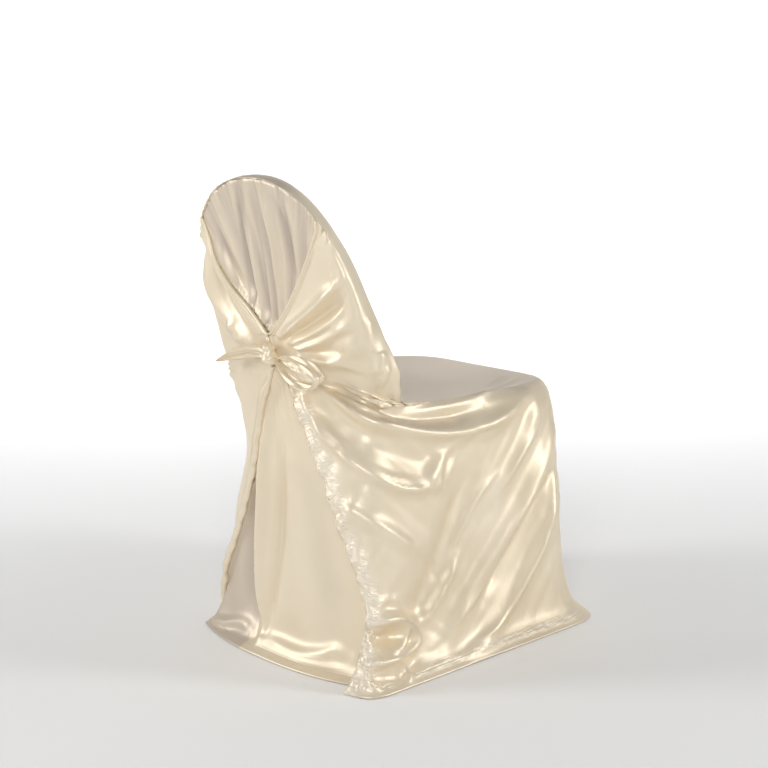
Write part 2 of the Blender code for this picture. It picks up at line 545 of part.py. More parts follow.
def new_material(name, colour, roughness):
    material = bpy.data.materials.new(name)
    material.use_nodes = True
    shader = material.node_tree.nodes['Principled BSDF']
    shader.inputs['Base Color'].default_value = (*colour, 1.0)
    shader.inputs['Roughness'].default_value = roughness
    shader.inputs['Metallic'].default_value = 0.0
    return material


def add_body(name, points, faces, material, collection):
    mesh = bpy.data.meshes.new(name)
    mesh.from_pydata([tuple(map(float, q)) for q in points], [], faces)
    mesh.transform(Matrix.Translation([-m for m in MIDDLE]))
    mesh.materials.append(material)
    body = bpy.data.objects.new(name, mesh)
    collection.objects.link(body)
    return body


def add_cloth(name, grid, thickness, material, collection):
    rows, columns = grid.shape[:2]
    faces = []
    for i in range(rows - 1):
        for j in range(columns - 1):
            a = i * columns + j
            faces.append((a, a + 1, a + columns + 1, a + columns))
    cloth = add_body(name, grid.reshape(-1, 3), faces, material, collection)
    solid = cloth.modifiers.new('cloth thickness', 'SOLIDIFY')
    solid.thickness = thickness
    solid.offset = -1.0
    solid.use_rim = True
    return cloth


def main():
    for old in list(bpy.data.objects):
        bpy.data.objects.remove(old)
    cover = bpy.data.collections.new('chair cover with sash')
    bpy.context.scene.collection.children.link(cover)
    satin = (0.74, 0.63, 0.48)
    body_satin = new_material('cover satin', satin, 0.34)
    panel_satin = new_material('panel satin', (0.70, 0.60, 0.46), 0.36)
    knot_satin = new_material('knot satin', satin, 0.30)
    tail_satin = new_material('tail satin', satin, 0.30)
    loop_satin = new_material('loop satin', satin, 0.30)
    add_cloth('cover_body', body_surface(), CLOTH, body_satin, cover)
    add_cloth('rear_panel', panel_surface(), CLOTH, panel_satin, cover)
    add_body('tie_knot', *knot_body(), knot_satin, cover)
    add_body('tie_tail', *tail_body(), tail_satin, cover)
    add_cloth('tie_loop', loop_band(), CLOTH, loop_satin, cover)


main()
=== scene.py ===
"""Looks of the chair cover with sash: satin cloth, gathered rear panel, knot and bow.

Laid out as an add-on with one operator for each piece. Metres, +Z up, the cover's front towards -Y.
"near" is the -X side, "far" the +X side.
"""
import math

import bpy
import numpy as np
from mathutils import Euler, Matrix, Vector, noise


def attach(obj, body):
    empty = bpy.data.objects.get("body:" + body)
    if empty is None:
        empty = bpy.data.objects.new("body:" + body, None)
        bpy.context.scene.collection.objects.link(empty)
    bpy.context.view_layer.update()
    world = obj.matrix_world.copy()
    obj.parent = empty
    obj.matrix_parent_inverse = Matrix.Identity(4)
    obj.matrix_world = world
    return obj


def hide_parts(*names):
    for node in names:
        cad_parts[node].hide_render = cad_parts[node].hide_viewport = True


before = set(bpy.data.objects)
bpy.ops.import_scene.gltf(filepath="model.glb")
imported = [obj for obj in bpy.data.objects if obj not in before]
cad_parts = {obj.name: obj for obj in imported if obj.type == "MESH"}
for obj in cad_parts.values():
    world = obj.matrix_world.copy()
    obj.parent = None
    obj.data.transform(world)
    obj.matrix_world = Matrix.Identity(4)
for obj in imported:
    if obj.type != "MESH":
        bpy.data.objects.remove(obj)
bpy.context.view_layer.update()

bl_info = {
    "name": "Chair cover with sash",
    "version": (1, 0, 0),
    "blender": (4, 5, 0),
    "location": "3D View > Sidebar > Chair cover",
    "description": "Dresses the fitted satin chair cover, its gathered rear panel and its bow",
    "category": "Object",
}

# middle of the cover's outline on the floor, moved to the origin
MIDDLE = (-0.019, 0.0085, 0.0)

# sizes of the back that the cover is cut for, in metres
BACK_TOP = 0.888
REAR_AT_TOP = 0.338
LEAN = 0.287
BACK_DEPTH = 0.047
RIM = {
    "near_rear": dict(centre=0.640, half=0.217, rise=0.248, power=2.2),
    "far_rear": dict(centre=0.640, half=0.225, rise=0.248, power=2.2),
    "near_front": dict(centre=0.600, half=0.205, rise=0.285, power=2.0),
    "far_front": dict(centre=0.600, half=0.208, rise=0.285, power=2.0),
}

# rows of the cover, floor to seat. half: side, rear: rear corner's y, cut: size of the rounded corner
ROWS = [
    # z, front, how far the front corners lie inside; near and far: half, rear, rear cut, front cut, edge
    dict(z=0.0025, front=-0.322, inside=0.014, near=(0.306, 0.322, 0.05, 0.09, (-0.245, 0.339, 0.0025)),
         far=(0.268, 0.236, 0.05, 0.08, (0.212, 0.250, 0.0025))),
    dict(z=0.010, front=-0.314, inside=0.010, near=(0.293, 0.314, 0.05, 0.09, (-0.246, 0.330, 0.012)),
         far=(0.258, 0.230, 0.05, 0.09, (0.209, 0.250, 0.010))),
    dict(z=0.032, front=-0.302, inside=0.004, near=(0.271, 0.300, 0.06, 0.10, (-0.247, 0.312, 0.044)),
         far=(0.250, 0.222, 0.05, 0.10, (0.203, 0.254, 0.036))),
    dict(z=0.120, front=-0.296, inside=0.0, near=(0.255, 0.286, 0.08, 0.13, (-0.246, 0.288, 0.140)),
         far=(0.240, 0.208, 0.05, 0.12, (0.160, 0.284, 0.120))),
    dict(z=0.240, front=-0.290, inside=0.0, near=(0.249, 0.282, 0.08, 0.13, (-0.190, 0.290, 0.260)),
         far=(0.228, 0.212, 0.06, 0.13, (0.099, 0.288, 0.240))),
    dict(z=0.350, front=-0.287, inside=0.0, near=(0.243, 0.276, 0.08, 0.15, (-0.128, 0.292, 0.375)),
         far=(0.214, 0.198, 0.07, 0.15, (0.058, 0.290, 0.345))),
    dict(z=0.430, front=-0.284, inside=0.0, near=(0.235, 0.262, 0.07, 0.17, (-0.077, 0.293, 0.460)),
         far=(0.214, 0.218, 0.07, 0.17, (0.038, 0.291, 0.430))),
    dict(z=0.464, front=-0.279, inside=0.0, near=(0.225, 0.250, 0.05, 0.19, (-0.056, 0.293, 0.500)),
         far=(0.216, 0.228, 0.05, 0.19, (0.021, 0.292, 0.480))),
]
SEAT = [
    # z, front, near: half, rear y, rear z, front cut, edge; far: the same
    dict(z=0.477, front=-0.262, near=(0.212, 0.243, 0.490, 0.19, (-0.044, 0.294, 0.522)),
         far=(0.214, 0.234, 0.490, 0.17, (0.009, 0.294, 0.510))),
    dict(z=0.478, front=-0.160, near=(0.208, 0.240, 0.504, 0.12, (-0.037, 0.295, 0.536)),
         far=(0.212, 0.238, 0.504, 0.10, (0.002, 0.295, 0.528))),
    dict(z=0.477, front=-0.010, near=(0.206, 0.240, 0.515, 0.06, (-0.031, 0.296, 0.547)),
         far=(0.212, 0.240, 0.515, 0.06, (-0.003, 0.296, 0.540))),
    dict(z=0.480, front=0.135, near=(0.206, 0.241, 0.528, 0.03, (-0.026, 0.297, 0.557)),
         far=(0.212, 0.241, 0.528, 0.03, (-0.008, 0.297, 0.553))),
]
HOOD = [
    # height in the middle, fullness, over the band; near and far: crossing height, share up the V edge, flare
    dict(top=0.505, full=2.0, over=0.0, near=(0.548, 0.00, 0.020), far=(0.548, 0.00, 0.004)),
    dict(top=0.560, full=2.0, over=0.0, near=(0.582, 0.02, 0.016), far=(0.582, 0.02, 0.002)),
    dict(top=0.660, full=2.0, over=0.0, near=(0.630, 0.08, 0.005), far=(0.628, 0.08, 0.0)),
    dict(top=0.750, full=2.4, over=0.0, near=(0.680, 0.26, 0.0), far=(0.676, 0.26, 0.0)),
    dict(top=0.825, full=3.2, over=0.0, near=(0.728, 0.48, 0.0), far=(0.722, 0.48, 0.0)),
    dict(top=0.873, full=5.0, over=0.0, near=(0.766, 0.68, 0.0), far=(0.756, 0.68, 0.0)),
    dict(top=0.885, full=9.0, over=0.06, near=(0.782, 0.78, 0.0), far=(0.770, 0.78, 0.0)),
    dict(top=0.888, full=9.0, over=0.35, near=(0.796, 0.86, 0.0), far=(0.784, 0.86, 0.0)),
    dict(top=0.888, full=9.0, over=0.70, near=(0.810, 0.93, 0.0), far=(0.796, 0.93, 0.0)),
    dict(top=0.888, full=9.0, over=1.00, near=(0.822, 1.00, 0.0), far=(0.806, 1.00, 0.0)),
]
VEE = {
    "near": [(-0.001, 0.298, 0.602), (-0.048, 0.297, 0.655), (-0.110, 0.306, 0.735), (-0.166, 0.319, 0.822)],
    "far": [(0.003, 0.298, 0.602), (0.062, 0.292, 0.648), (0.130, 0.296, 0.708), (0.180, 0.314, 0.806)],
}
# columns from the free edge: over the wing, the side, and the front to the middle
SHARE = {
    "near": dict(skirt=(8, 19, 6), hood=(17, 8, 8)),
    "far": dict(skirt=(5, 11, 6), hood=(9, 5, 8)),
}
# how far each row has moved from the skirt shares to the hood shares
BLEND = [0, 0, 0, 0, 0, 0, 0.05, 0.15, 0.3, 0.5, 0.7, 0.9, 1, 1, 1, 1, 1, 1, 1, 1, 1, 1]
# steps between rows
STEPS = [4, 6, 18, 20, 22, 18, 8, 4, 8, 6, 6, 4, 6, 14, 14, 12, 10, 4, 4, 3, 3]
FINE_COLUMNS = {"near": 5, "far": 4}
# how strongly the columns crowd towards the free edge
CROWD = {"near": 1.6, "far": 1.5}


def rear_y(z):
    return REAR_AT_TOP - LEAN * (BACK_TOP - z)


def front_y(z):
    return rear_y(z) - BACK_DEPTH


def rim_half(rim, z):
    t = np.clip((np.asarray(z, float) - rim["centre"]) / rim["rise"], 0, 1)
    return rim["half"] * (1 - t ** rim["power"]) ** (1 / rim["power"])


def rim_point(rim, y_at, angle, sign):
    c, s = np.maximum(np.cos(angle), 0), np.sin(angle)
    x = rim["half"] * c ** (2 / rim["power"])
    z = rim["centre"] + rim["rise"] * s ** (2 / rim["power"])
    return np.stack([sign * x, y_at(z), z], -1)


def rim_angle(rim, z):
    t = np.clip((z - rim["centre"]) / rim["rise"], 0, 1)
    return np.arcsin(t ** (rim["power"] / 2))


def rounded(points, cuts, steps=8):
    """A line of points with its inner corners rounded."""
    p = [np.array(q, float) for q in points]
    out = [p[0]]
    for i, cut in enumerate(cuts):
        a, b, c = p[i], p[i + 1], p[i + 2]
        la, lc = np.linalg.norm(a - b), np.linalg.norm(c - b)
        s = b + (a - b) * min(cut, 0.49 * la) / la
        e = b + (c - b) * min(cut, 0.49 * lc) / lc
        t = np.linspace(0, 1, steps + 1)[:, None]
        out.extend((1 - t) ** 2 * s + 2 * t * (1 - t) * b + t * t * e)
    out.append(p[-1])
    return np.array(out)


def lengths(line):
    return np.concatenate([[0], np.cumsum(np.linalg.norm(np.diff(line, axis=0), axis=1))])


def smooth_line(points, count):
    """A smooth curve through points, count of them, evenly spaced."""
    p = np.array(points, float)
    p = np.concatenate([[2 * p[0] - p[1]], p, [2 * p[-1] - p[-2]]])
    out = []
    for i in range(1, len(p) - 2):
        t = np.linspace(0, 1, 17)[:-1, None]
        a, b, c, d = p[i - 1], p[i], p[i + 1], p[i + 2]
        out.extend(b + 0.5 * t * (c - a + t * (2*a - 5*b + 4*c - d + t * (3*(b - c) + d - a))))
    out.append(p[-2])
    out = np.array(out)
    s = lengths(out)
    at = np.linspace(0, s[-1], count)
    return np.stack([np.interp(at, s, out[:, k]) for k in range(p.shape[1])], -1)


def nearest(line, point):
    return lengths(line)[np.argmin(np.linalg.norm(line - np.array(point), axis=1))]


def spread(line, marks, share, columns, crowd):
    """Points along a line; share says how many columns lie between the marks."""
    s = lengths(line)
    count = np.linspace(0, sum(share), columns + 1)
    count = np.where(count < share[0], share[0] * (count / share[0]) ** crowd, count)
    at = np.interp(count, np.concatenate([[0], np.cumsum(share)]), marks)
    return np.stack([np.interp(at, s, line[:, k]) for k in range(3)], -1)


def skirt_line(row, side):
    sign = -1 if side == "near" else 1
    half, rear, cut_r, cut_f, edge = row[side]
    z, front = row["z"], row["front"]
    corner, nose = (sign * half, rear, z), (sign * (half - row["inside"]), front, z)
    line = rounded([edge, corner, nose, (0, front, z)], [cut_r, cut_f])
    return line, [0, nearest(line, corner), nearest(line, nose), lengths(line)[-1]]


def seat_line(row, side):
    sign = -1 if side == "near" else 1
    half, rear, rear_z, cut_f, edge = row[side]
    z, front = row["z"], row["front"]
    corner, nose = (sign * (half + 0.004), rear, rear_z), (sign * half, front, z)
    foot_y = max(min(0.165, rear - 0.02), front + 0.01)
    foot = (sign * half, foot_y, z + 0.25 * (rear_z - z))
    line = rounded([edge, corner, foot, nose, (0, front, z)], [0.03, 0.04, cut_f])
    a, b = nearest(line, corner), nearest(line, nose)
    return line, [0, a, max(b, a + 0.09), lengths(line)[-1]]


def hood_line(row, side):
    sign = -1 if side == "near" else 1
    cross, share, flare = row[side]
    rim_r, rim_f = RIM[side + "_rear"], RIM[side + "_front"]
    vee = smooth_line(VEE[side], 41)
    edge = vee[int(round(share * 40))]
    rear = np.array([sign * rim_half(rim_r, cross), rear_y(cross), cross])
    front = np.array([sign * (rim_half(rim_f, cross) + flare), front_y(cross) - 0.5 * flare, cross])
    if row["over"] <= 0:
        lam = np.linspace(1, 0, 40)
        z = cross + (row["top"] - cross) * (1 - lam ** row["full"]) ** (1 / 1.6)
        x = sign * (rim_half(rim_f, z) + flare) * lam
        y = front_y(z) - 0.5 * flare - 0.010 * (1 - lam ** 2)
        arch = np.stack([x, y, z], -1)
        line = np.concatenate([rounded([edge, rear, front, arch[1]], [0.02, 0.02])[:-1], arch[1:]])
    else:
        t = np.linspace(0, 1, 40)
        start_r, start_f = rim_angle(rim_r, cross), rim_angle(rim_f, cross)
        rear_rim = rim_point(rim_r, rear_y, start_r + (np.pi / 2 - start_r) * t, sign)
        front_rim = rim_point(rim_f, front_y, start_f + (np.pi / 2 - start_f) * t, sign)
        w = (row["over"] + (1 - row["over"]) * np.exp(-t / 0.12))[:, None]
        line = front_rim + (rear_rim - front_rim) * w
        out = line - np.array([0, 0, 0.62])
        out[:, 1] = 0
        line = line + out / np.linalg.norm(out, axis=1)[:, None] * 0.006 * np.sin(np.pi * w)
        if share < 1:
            line = np.concatenate([[edge], line])
    s = lengths(line)
    a = max(np.linalg.norm(line[0] - rear), 0.05)
    return line, [0, a, a + 0.09, s[-1]]


def joined_rows(rows, steps):
    """Rows joined by a smooth curve down each column, with steps between rows."""
    p = np.array(rows)
    gaps = np.linalg.norm(np.diff(p, axis=0), axis=2).mean(1)
    t = np.concatenate([[0], np.cumsum(gaps ** 0.5)])
    slope = np.diff(p, axis=0) / np.diff(t)[:, None, None]
    m = np.concatenate([slope[:1], slope])
    d = np.diff(t)
    for i in range(1, len(p) - 1):
        m[i] = (slope[i - 1] * d[i] + slope[i] * d[i - 1]) / (d[i - 1] + d[i])
    out = [p[0]]
    for i, count in enumerate(steps):
        for s in np.linspace(0, 1, count + 1)[1:]:
            out.append((2*s**3 - 3*s**2 + 1) * p[i] + (s**3 - 2*s**2 + s) * d[i] * m[i]
                       + (3*s**2 - 2*s**3) * p[i + 1] + (s**3 - s**2) * d[i] * m[i + 1])
    return np.array(out)


def body_base():
    halves = []
    for side in ("near", "far"):
        share = SHARE[side]
        columns = sum(share["skirt"]) * FINE_COLUMNS[side]
        rows = []
        lines = [skirt_line(r, side) for r in ROWS] + [seat_line(r, side) for r in SEAT]
        lines = lines + [hood_line(r, side) for r in HOOD]
        for (line, marks), blend in zip(lines, BLEND):
            mix = [a + (b - a) * blend for a, b in zip(share["skirt"], share["hood"])]
            rows.append(spread(line, marks, mix, columns, CROWD[side]))
        halves.append(rows)
    rows = [np.concatenate([a, b[::-1][1:]]) for a, b in zip(*halves)]
    return joined_rows(rows, STEPS)


# the rear panel. Each row: z, x and y of the far edge, y of the middle, x and y of the near edge
NECK = dict(z=0.578, y=0.275, x=0.006, half=0.050)
PANEL_SEAM = dict(near=0.806, far=0.790, inset=0.0015, sink=0.0015)
PANEL_ROWS = [
    dict(z=0.540, far=(0.052, 0.271), mid=0.277, near=(-0.055, 0.270)),
    dict(z=0.470, far=(0.070, 0.270), mid=0.275, near=(-0.100, 0.264)),
    dict(z=0.370, far=(0.082, 0.268), mid=0.276, near=(-0.160, 0.262)),
    dict(z=0.270, far=(0.104, 0.270), mid=0.278, near=(-0.212, 0.262)),
    dict(z=0.170, far=(0.144, 0.273), mid=0.282, near=(-0.240, 0.260)),
    dict(z=0.090, far=(0.166, 0.271), mid=0.287, near=(-0.238, 0.260)),
    dict(z=0.040, far=(0.186, 0.282), mid=0.292, near=(-0.244, 0.268)),
    dict(z=0.014, far=(0.196, 0.292), mid=0.310, near=(-0.244, 0.282)),
    dict(z=0.0025, far=(0.214, 0.300), mid=0.338, near=(-0.240, 0.298)),
]
PANEL_STEPS = [18, 16, 8, 10, 10, 10, 10, 10, 10, 6, 6]
PANEL_COLUMNS = 168


def panel_base():
    n = PANEL_COLUMNS
    u = np.linspace(-1, 1, n + 1)
    rim_n, rim_f = RIM["near_rear"], RIM["far_rear"]
    a_n, a_f = rim_angle(rim_n, PANEL_SEAM["near"]), rim_angle(rim_f, PANEL_SEAM["far"])
    seam = []
    for v in u:
        if v < 0:
            seam.append(rim_point(rim_n, rear_y, a_n + (np.pi / 2 - a_n) * (1 + v), -1))
        else:
            seam.append(rim_point(rim_f, rear_y, a_f + (np.pi / 2 - a_f) * (1 - v), 1))
    seam = np.array(seam)
    centre = np.array([0, rear_y(0.62), 0.62])
    inward = centre - seam
    seam = seam + inward / np.linalg.norm(inward, axis=1)[:, None] * PANEL_SEAM["inset"]
    seam[:, 1] -= PANEL_SEAM["sink"]
    neck = np.stack([NECK["x"] + NECK["half"] * u, NECK["y"] + 0 * u, NECK["z"] + 0 * u], -1)
    middle = seam + (neck - seam) * 0.45
    middle[:, 1] -= 0.009
    rows = [seam, middle, neck]
    for r in PANEL_ROWS:
        (xf, yf), (xn, yn) = r["far"], r["near"]
        x = xn + (xf - xn) * (u + 1) / 2
        edge = yn + (yf - yn) * (u + 1) / 2
        y = edge + (r["mid"] - (yn + yf) / 2) * (1 - np.abs(u) ** 2.5)
        rows.append(np.stack([x, y, np.full(n + 1, r["z"])], -1))
    return joined_rows(rows, PANEL_STEPS)


# folds of the cover: height, width to the left and to the right looking along the path, and the path
FOLDS = [
    (0.014, 0.018, 0.012, (-0.100, 0.278, 0.535), (-0.184, 0.255, 0.484), (-0.221, 0.229, 0.463),
     (-0.236, 0.096, 0.429), (-0.236, -0.040, 0.430), (-0.222, -0.160, 0.462)),
    (-0.014, 0.014, 0.014, (-0.100, 0.270, 0.548), (-0.190, 0.235, 0.500), (-0.222, 0.170, 0.470),
     (-0.228, 0.070, 0.456), (-0.222, -0.020, 0.458)),
    (0.012, 0.016, 0.014, (-0.081, 0.283, 0.494), (-0.147, 0.281, 0.432), (-0.217, 0.262, 0.387),
     (-0.244, 0.203, 0.349), (-0.245, 0.112, 0.335)),
    (-0.012, 0.024, 0.022, (-0.150, 0.272, 0.475), (-0.225, 0.220, 0.420), (-0.240, 0.140, 0.388),
     (-0.240, 0.050, 0.385)),
    (0.010, 0.014, 0.012, (-0.244, 0.140, 0.345), (-0.241, 0.090, 0.395)),
    (0.009, 0.016, 0.016, (-0.179, 0.287, 0.321), (-0.242, 0.249, 0.284), (-0.250, 0.172, 0.230)),
    (0.013, 0.020, 0.020, (-0.225, -0.225, 0.380), (-0.249, -0.122, 0.267), (-0.251, -0.050, 0.203),
     (-0.256, 0.034, 0.124), (-0.268, 0.115, 0.030)),
    (0.014, 0.020, 0.020, (-0.235, -0.227, 0.285), (-0.254, -0.134, 0.146), (-0.272, -0.009, 0.038),
     (-0.292, 0.060, 0.007)),
    (-0.010, 0.018, 0.018, (-0.240, -0.190, 0.300), (-0.252, -0.090, 0.190), (-0.258, 0.000, 0.100)),
    (-0.012, 0.032, 0.030, (-0.240, 0.000, 0.400), (-0.249, 0.069, 0.265), (-0.252, 0.109, 0.198),
     (-0.261, 0.194, 0.069)),
    (0.007, 0.014, 0.014, (-0.215, -0.180, 0.459), (-0.239, -0.143, 0.399), (-0.245, -0.082, 0.332),
     (-0.248, -0.039, 0.282)),
    (0.016, 0.013, 0.013, (-0.245, 0.290, 0.122), (-0.256, 0.262, 0.124), (-0.262, 0.222, 0.110),
     (-0.264, 0.204, 0.084), (-0.262, 0.226, 0.062), (-0.258, 0.270, 0.056)),
    (-0.013, 0.014, 0.014, (-0.254, 0.285, 0.092), (-0.260, 0.236, 0.086)),
    (0.014, 0.014, 0.014, (-0.250, 0.310, 0.060), (-0.270, 0.270, 0.045), (-0.280, 0.225, 0.030)),
    (0.010, 0.016, 0.014, (-0.033, 0.290, 0.600), (-0.104, 0.289, 0.651), (-0.175, 0.292, 0.711)),
    (0.009, 0.014, 0.014, (-0.030, 0.290, 0.588), (-0.068, 0.284, 0.592), (-0.144, 0.277, 0.628),
     (-0.198, 0.273, 0.651)),
    (0.013, 0.020, 0.024, (-0.041, 0.286, 0.571), (-0.129, 0.266, 0.571), (-0.214, 0.251, 0.625)),
    (-0.008, 0.014, 0.014, (-0.060, 0.285, 0.610), (-0.130, 0.280, 0.650), (-0.195, 0.278, 0.690)),
    (0.009, 0.014, 0.014, (-0.217, 0.226, 0.596), (-0.217, 0.231, 0.552)),
    (0.010, 0.012, 0.012, (-0.214, 0.190, 0.520), (-0.222, 0.170, 0.480)),
    (0.009, 0.012, 0.012, (0.170, 0.300, 0.770), (0.110, 0.292, 0.680), (0.030, 0.292, 0.606)),
    (-0.009, 0.016, 0.016, (0.200, 0.290, 0.760), (0.160, 0.280, 0.680), (0.060, 0.280, 0.585)),
    (0.009, 0.016, 0.016, (0.215, 0.280, 0.720), (0.190, 0.270, 0.640), (0.080, 0.275, 0.565)),
    (0.011, 0.020, 0.020, (0.200, 0.150, 0.440), (0.215, 0.000, 0.410), (0.215, -0.140, 0.440)),
    (0.014, 0.028, 0.028, (0.215, 0.150, 0.330), (0.235, 0.020, 0.180), (0.260, -0.080, 0.040)),
    (0.012, 0.028, 0.028, (0.220, -0.150, 0.400), (0.245, -0.180, 0.200), (0.270, -0.200, 0.030)),
]
# upright folds that open toward the hem of the front: place across, height, width
FLUTES = [
    dict(x=-0.150, height=0.010, width=0.030), dict(x=-0.075, height=-0.009, width=0.030),
    dict(x=-0.005, height=0.011, width=0.032), dict(x=0.070, height=-0.009, width=0.030),
    dict(x=0.150, height=0.012, width=0.034),
]
# pleats of the rear panel: place across at the seam and at the neck, height, width
PLEATS = [
    dict(top=-0.80, foot=-0.95, height=0.005, width=0.060),
    dict(top=-0.66, foot=-0.88, height=-0.006, width=0.060),
    dict(top=-0.50, foot=-0.78, height=0.006, width=0.060),
    dict(top=-0.36, foot=-0.66, height=-0.008, width=0.050),
    dict(top=-0.26, foot=-0.50, height=0.007, width=0.050),
    dict(top=-0.10, foot=-0.26, height=0.005, width=0.050),
    dict(top=0.01, foot=-0.10, height=-0.009, width=0.050),
    dict(top=0.08, foot=0.04, height=0.006, width=0.040),
    dict(top=0.16, foot=0.18, height=-0.008, width=0.045),
    dict(top=0.27, foot=0.34, height=0.006, width=0.050),
    dict(top=0.42, foot=0.50, height=-0.005, width=0.060),
    dict(top=0.58, foot=0.66, height=0.006, width=0.060),
    dict(top=0.76, foot=0.84, height=-0.005, width=0.060),
]
# folds of the panel below the tie
PANEL_FOLDS = [
    (0.011, 0.040, 0.013, (0.030, 0.275, 0.520), (0.042, 0.275, 0.394), (0.044, 0.278, 0.278),
     (0.044, 0.280, 0.163), (0.034, 0.287, 0.088), (0.024, 0.310, 0.020)),
    (-0.008, 0.014, 0.022, (0.072, 0.270, 0.330), (0.078, 0.272, 0.250), (0.082, 0.278, 0.163),
     (0.080, 0.287, 0.088), (0.070, 0.300, 0.040)),
    (-0.005, 0.012, 0.010, (-0.012, 0.277, 0.380), (-0.010, 0.280, 0.250), (0.006, 0.284, 0.130),
     (0.018, 0.300, 0.030)),
    (0.008, 0.012, 0.010, (0.190, 0.300, 0.012), (0.150, 0.300, 0.018), (0.100, 0.298, 0.032),
     (0.060, 0.300, 0.024)),
    (0.008, 0.012, 0.014, (0.020, 0.305, 0.026), (-0.070, 0.306, 0.022), (-0.124, 0.296, 0.031),
     (-0.160, 0.286, 0.045), (-0.200, 0.280, 0.040)),
    (0.005, 0.030, 0.030, (-0.020, 0.277, 0.420), (-0.040, 0.280, 0.250), (-0.080, 0.285, 0.080)),
    (-0.005, 0.030, 0.030, (-0.080, 0.277, 0.380), (-0.110, 0.280, 0.230), (-0.150, 0.285, 0.090)),
    (0.012, 0.015, 0.016, (0.156, 0.286, 0.765), (0.120, 0.282, 0.712), (0.055, 0.276, 0.650),
     (0.012, 0.274, 0.614)),
    (-0.006, 0.010, 0.010, (0.150, 0.290, 0.810), (0.098, 0.282, 0.716), (0.044, 0.276, 0.654),
     (0.008, 0.274, 0.622)),
]


def surface_normals(p):
    du, dv = np.gradient(p, axis=1), np.gradient(p, axis=0)
    n = np.cross(du, dv)
    return n / np.maximum(np.linalg.norm(n, axis=2), 1e-9)[..., None]


def fold_height(p, normal, fold):
    """How far one fold lifts each point, from the point's distance to the fold's path."""
    height, left, right, *path = fold
    line = smooth_line(path, 25)
    middle, along = (line[1:] + line[:-1]) / 2, np.diff(line, axis=0)
    gap = p[:, :, None, :] - middle
    near = np.linalg.norm(gap, axis=3).argmin(axis=2)
    a, d = line[near], along[near]
    size = (d ** 2).sum(-1)
    t = np.clip(((p - a) * d).sum(-1) / size, 0, 1)
    off = p - a - d * t[..., None]
    side = (np.cross(d, off) * normal).sum(-1)
    width = np.where(side > 0, left, right)
    share = (near + t) / len(along)
    ends = np.clip(np.minimum(share, 1 - share) / 0.2, 0, 1)
    ends = 0.35 + 0.65 * ends * ends * (3 - 2 * ends)
    return height * ends * np.exp(-(off ** 2).sum(-1) / width ** 2)


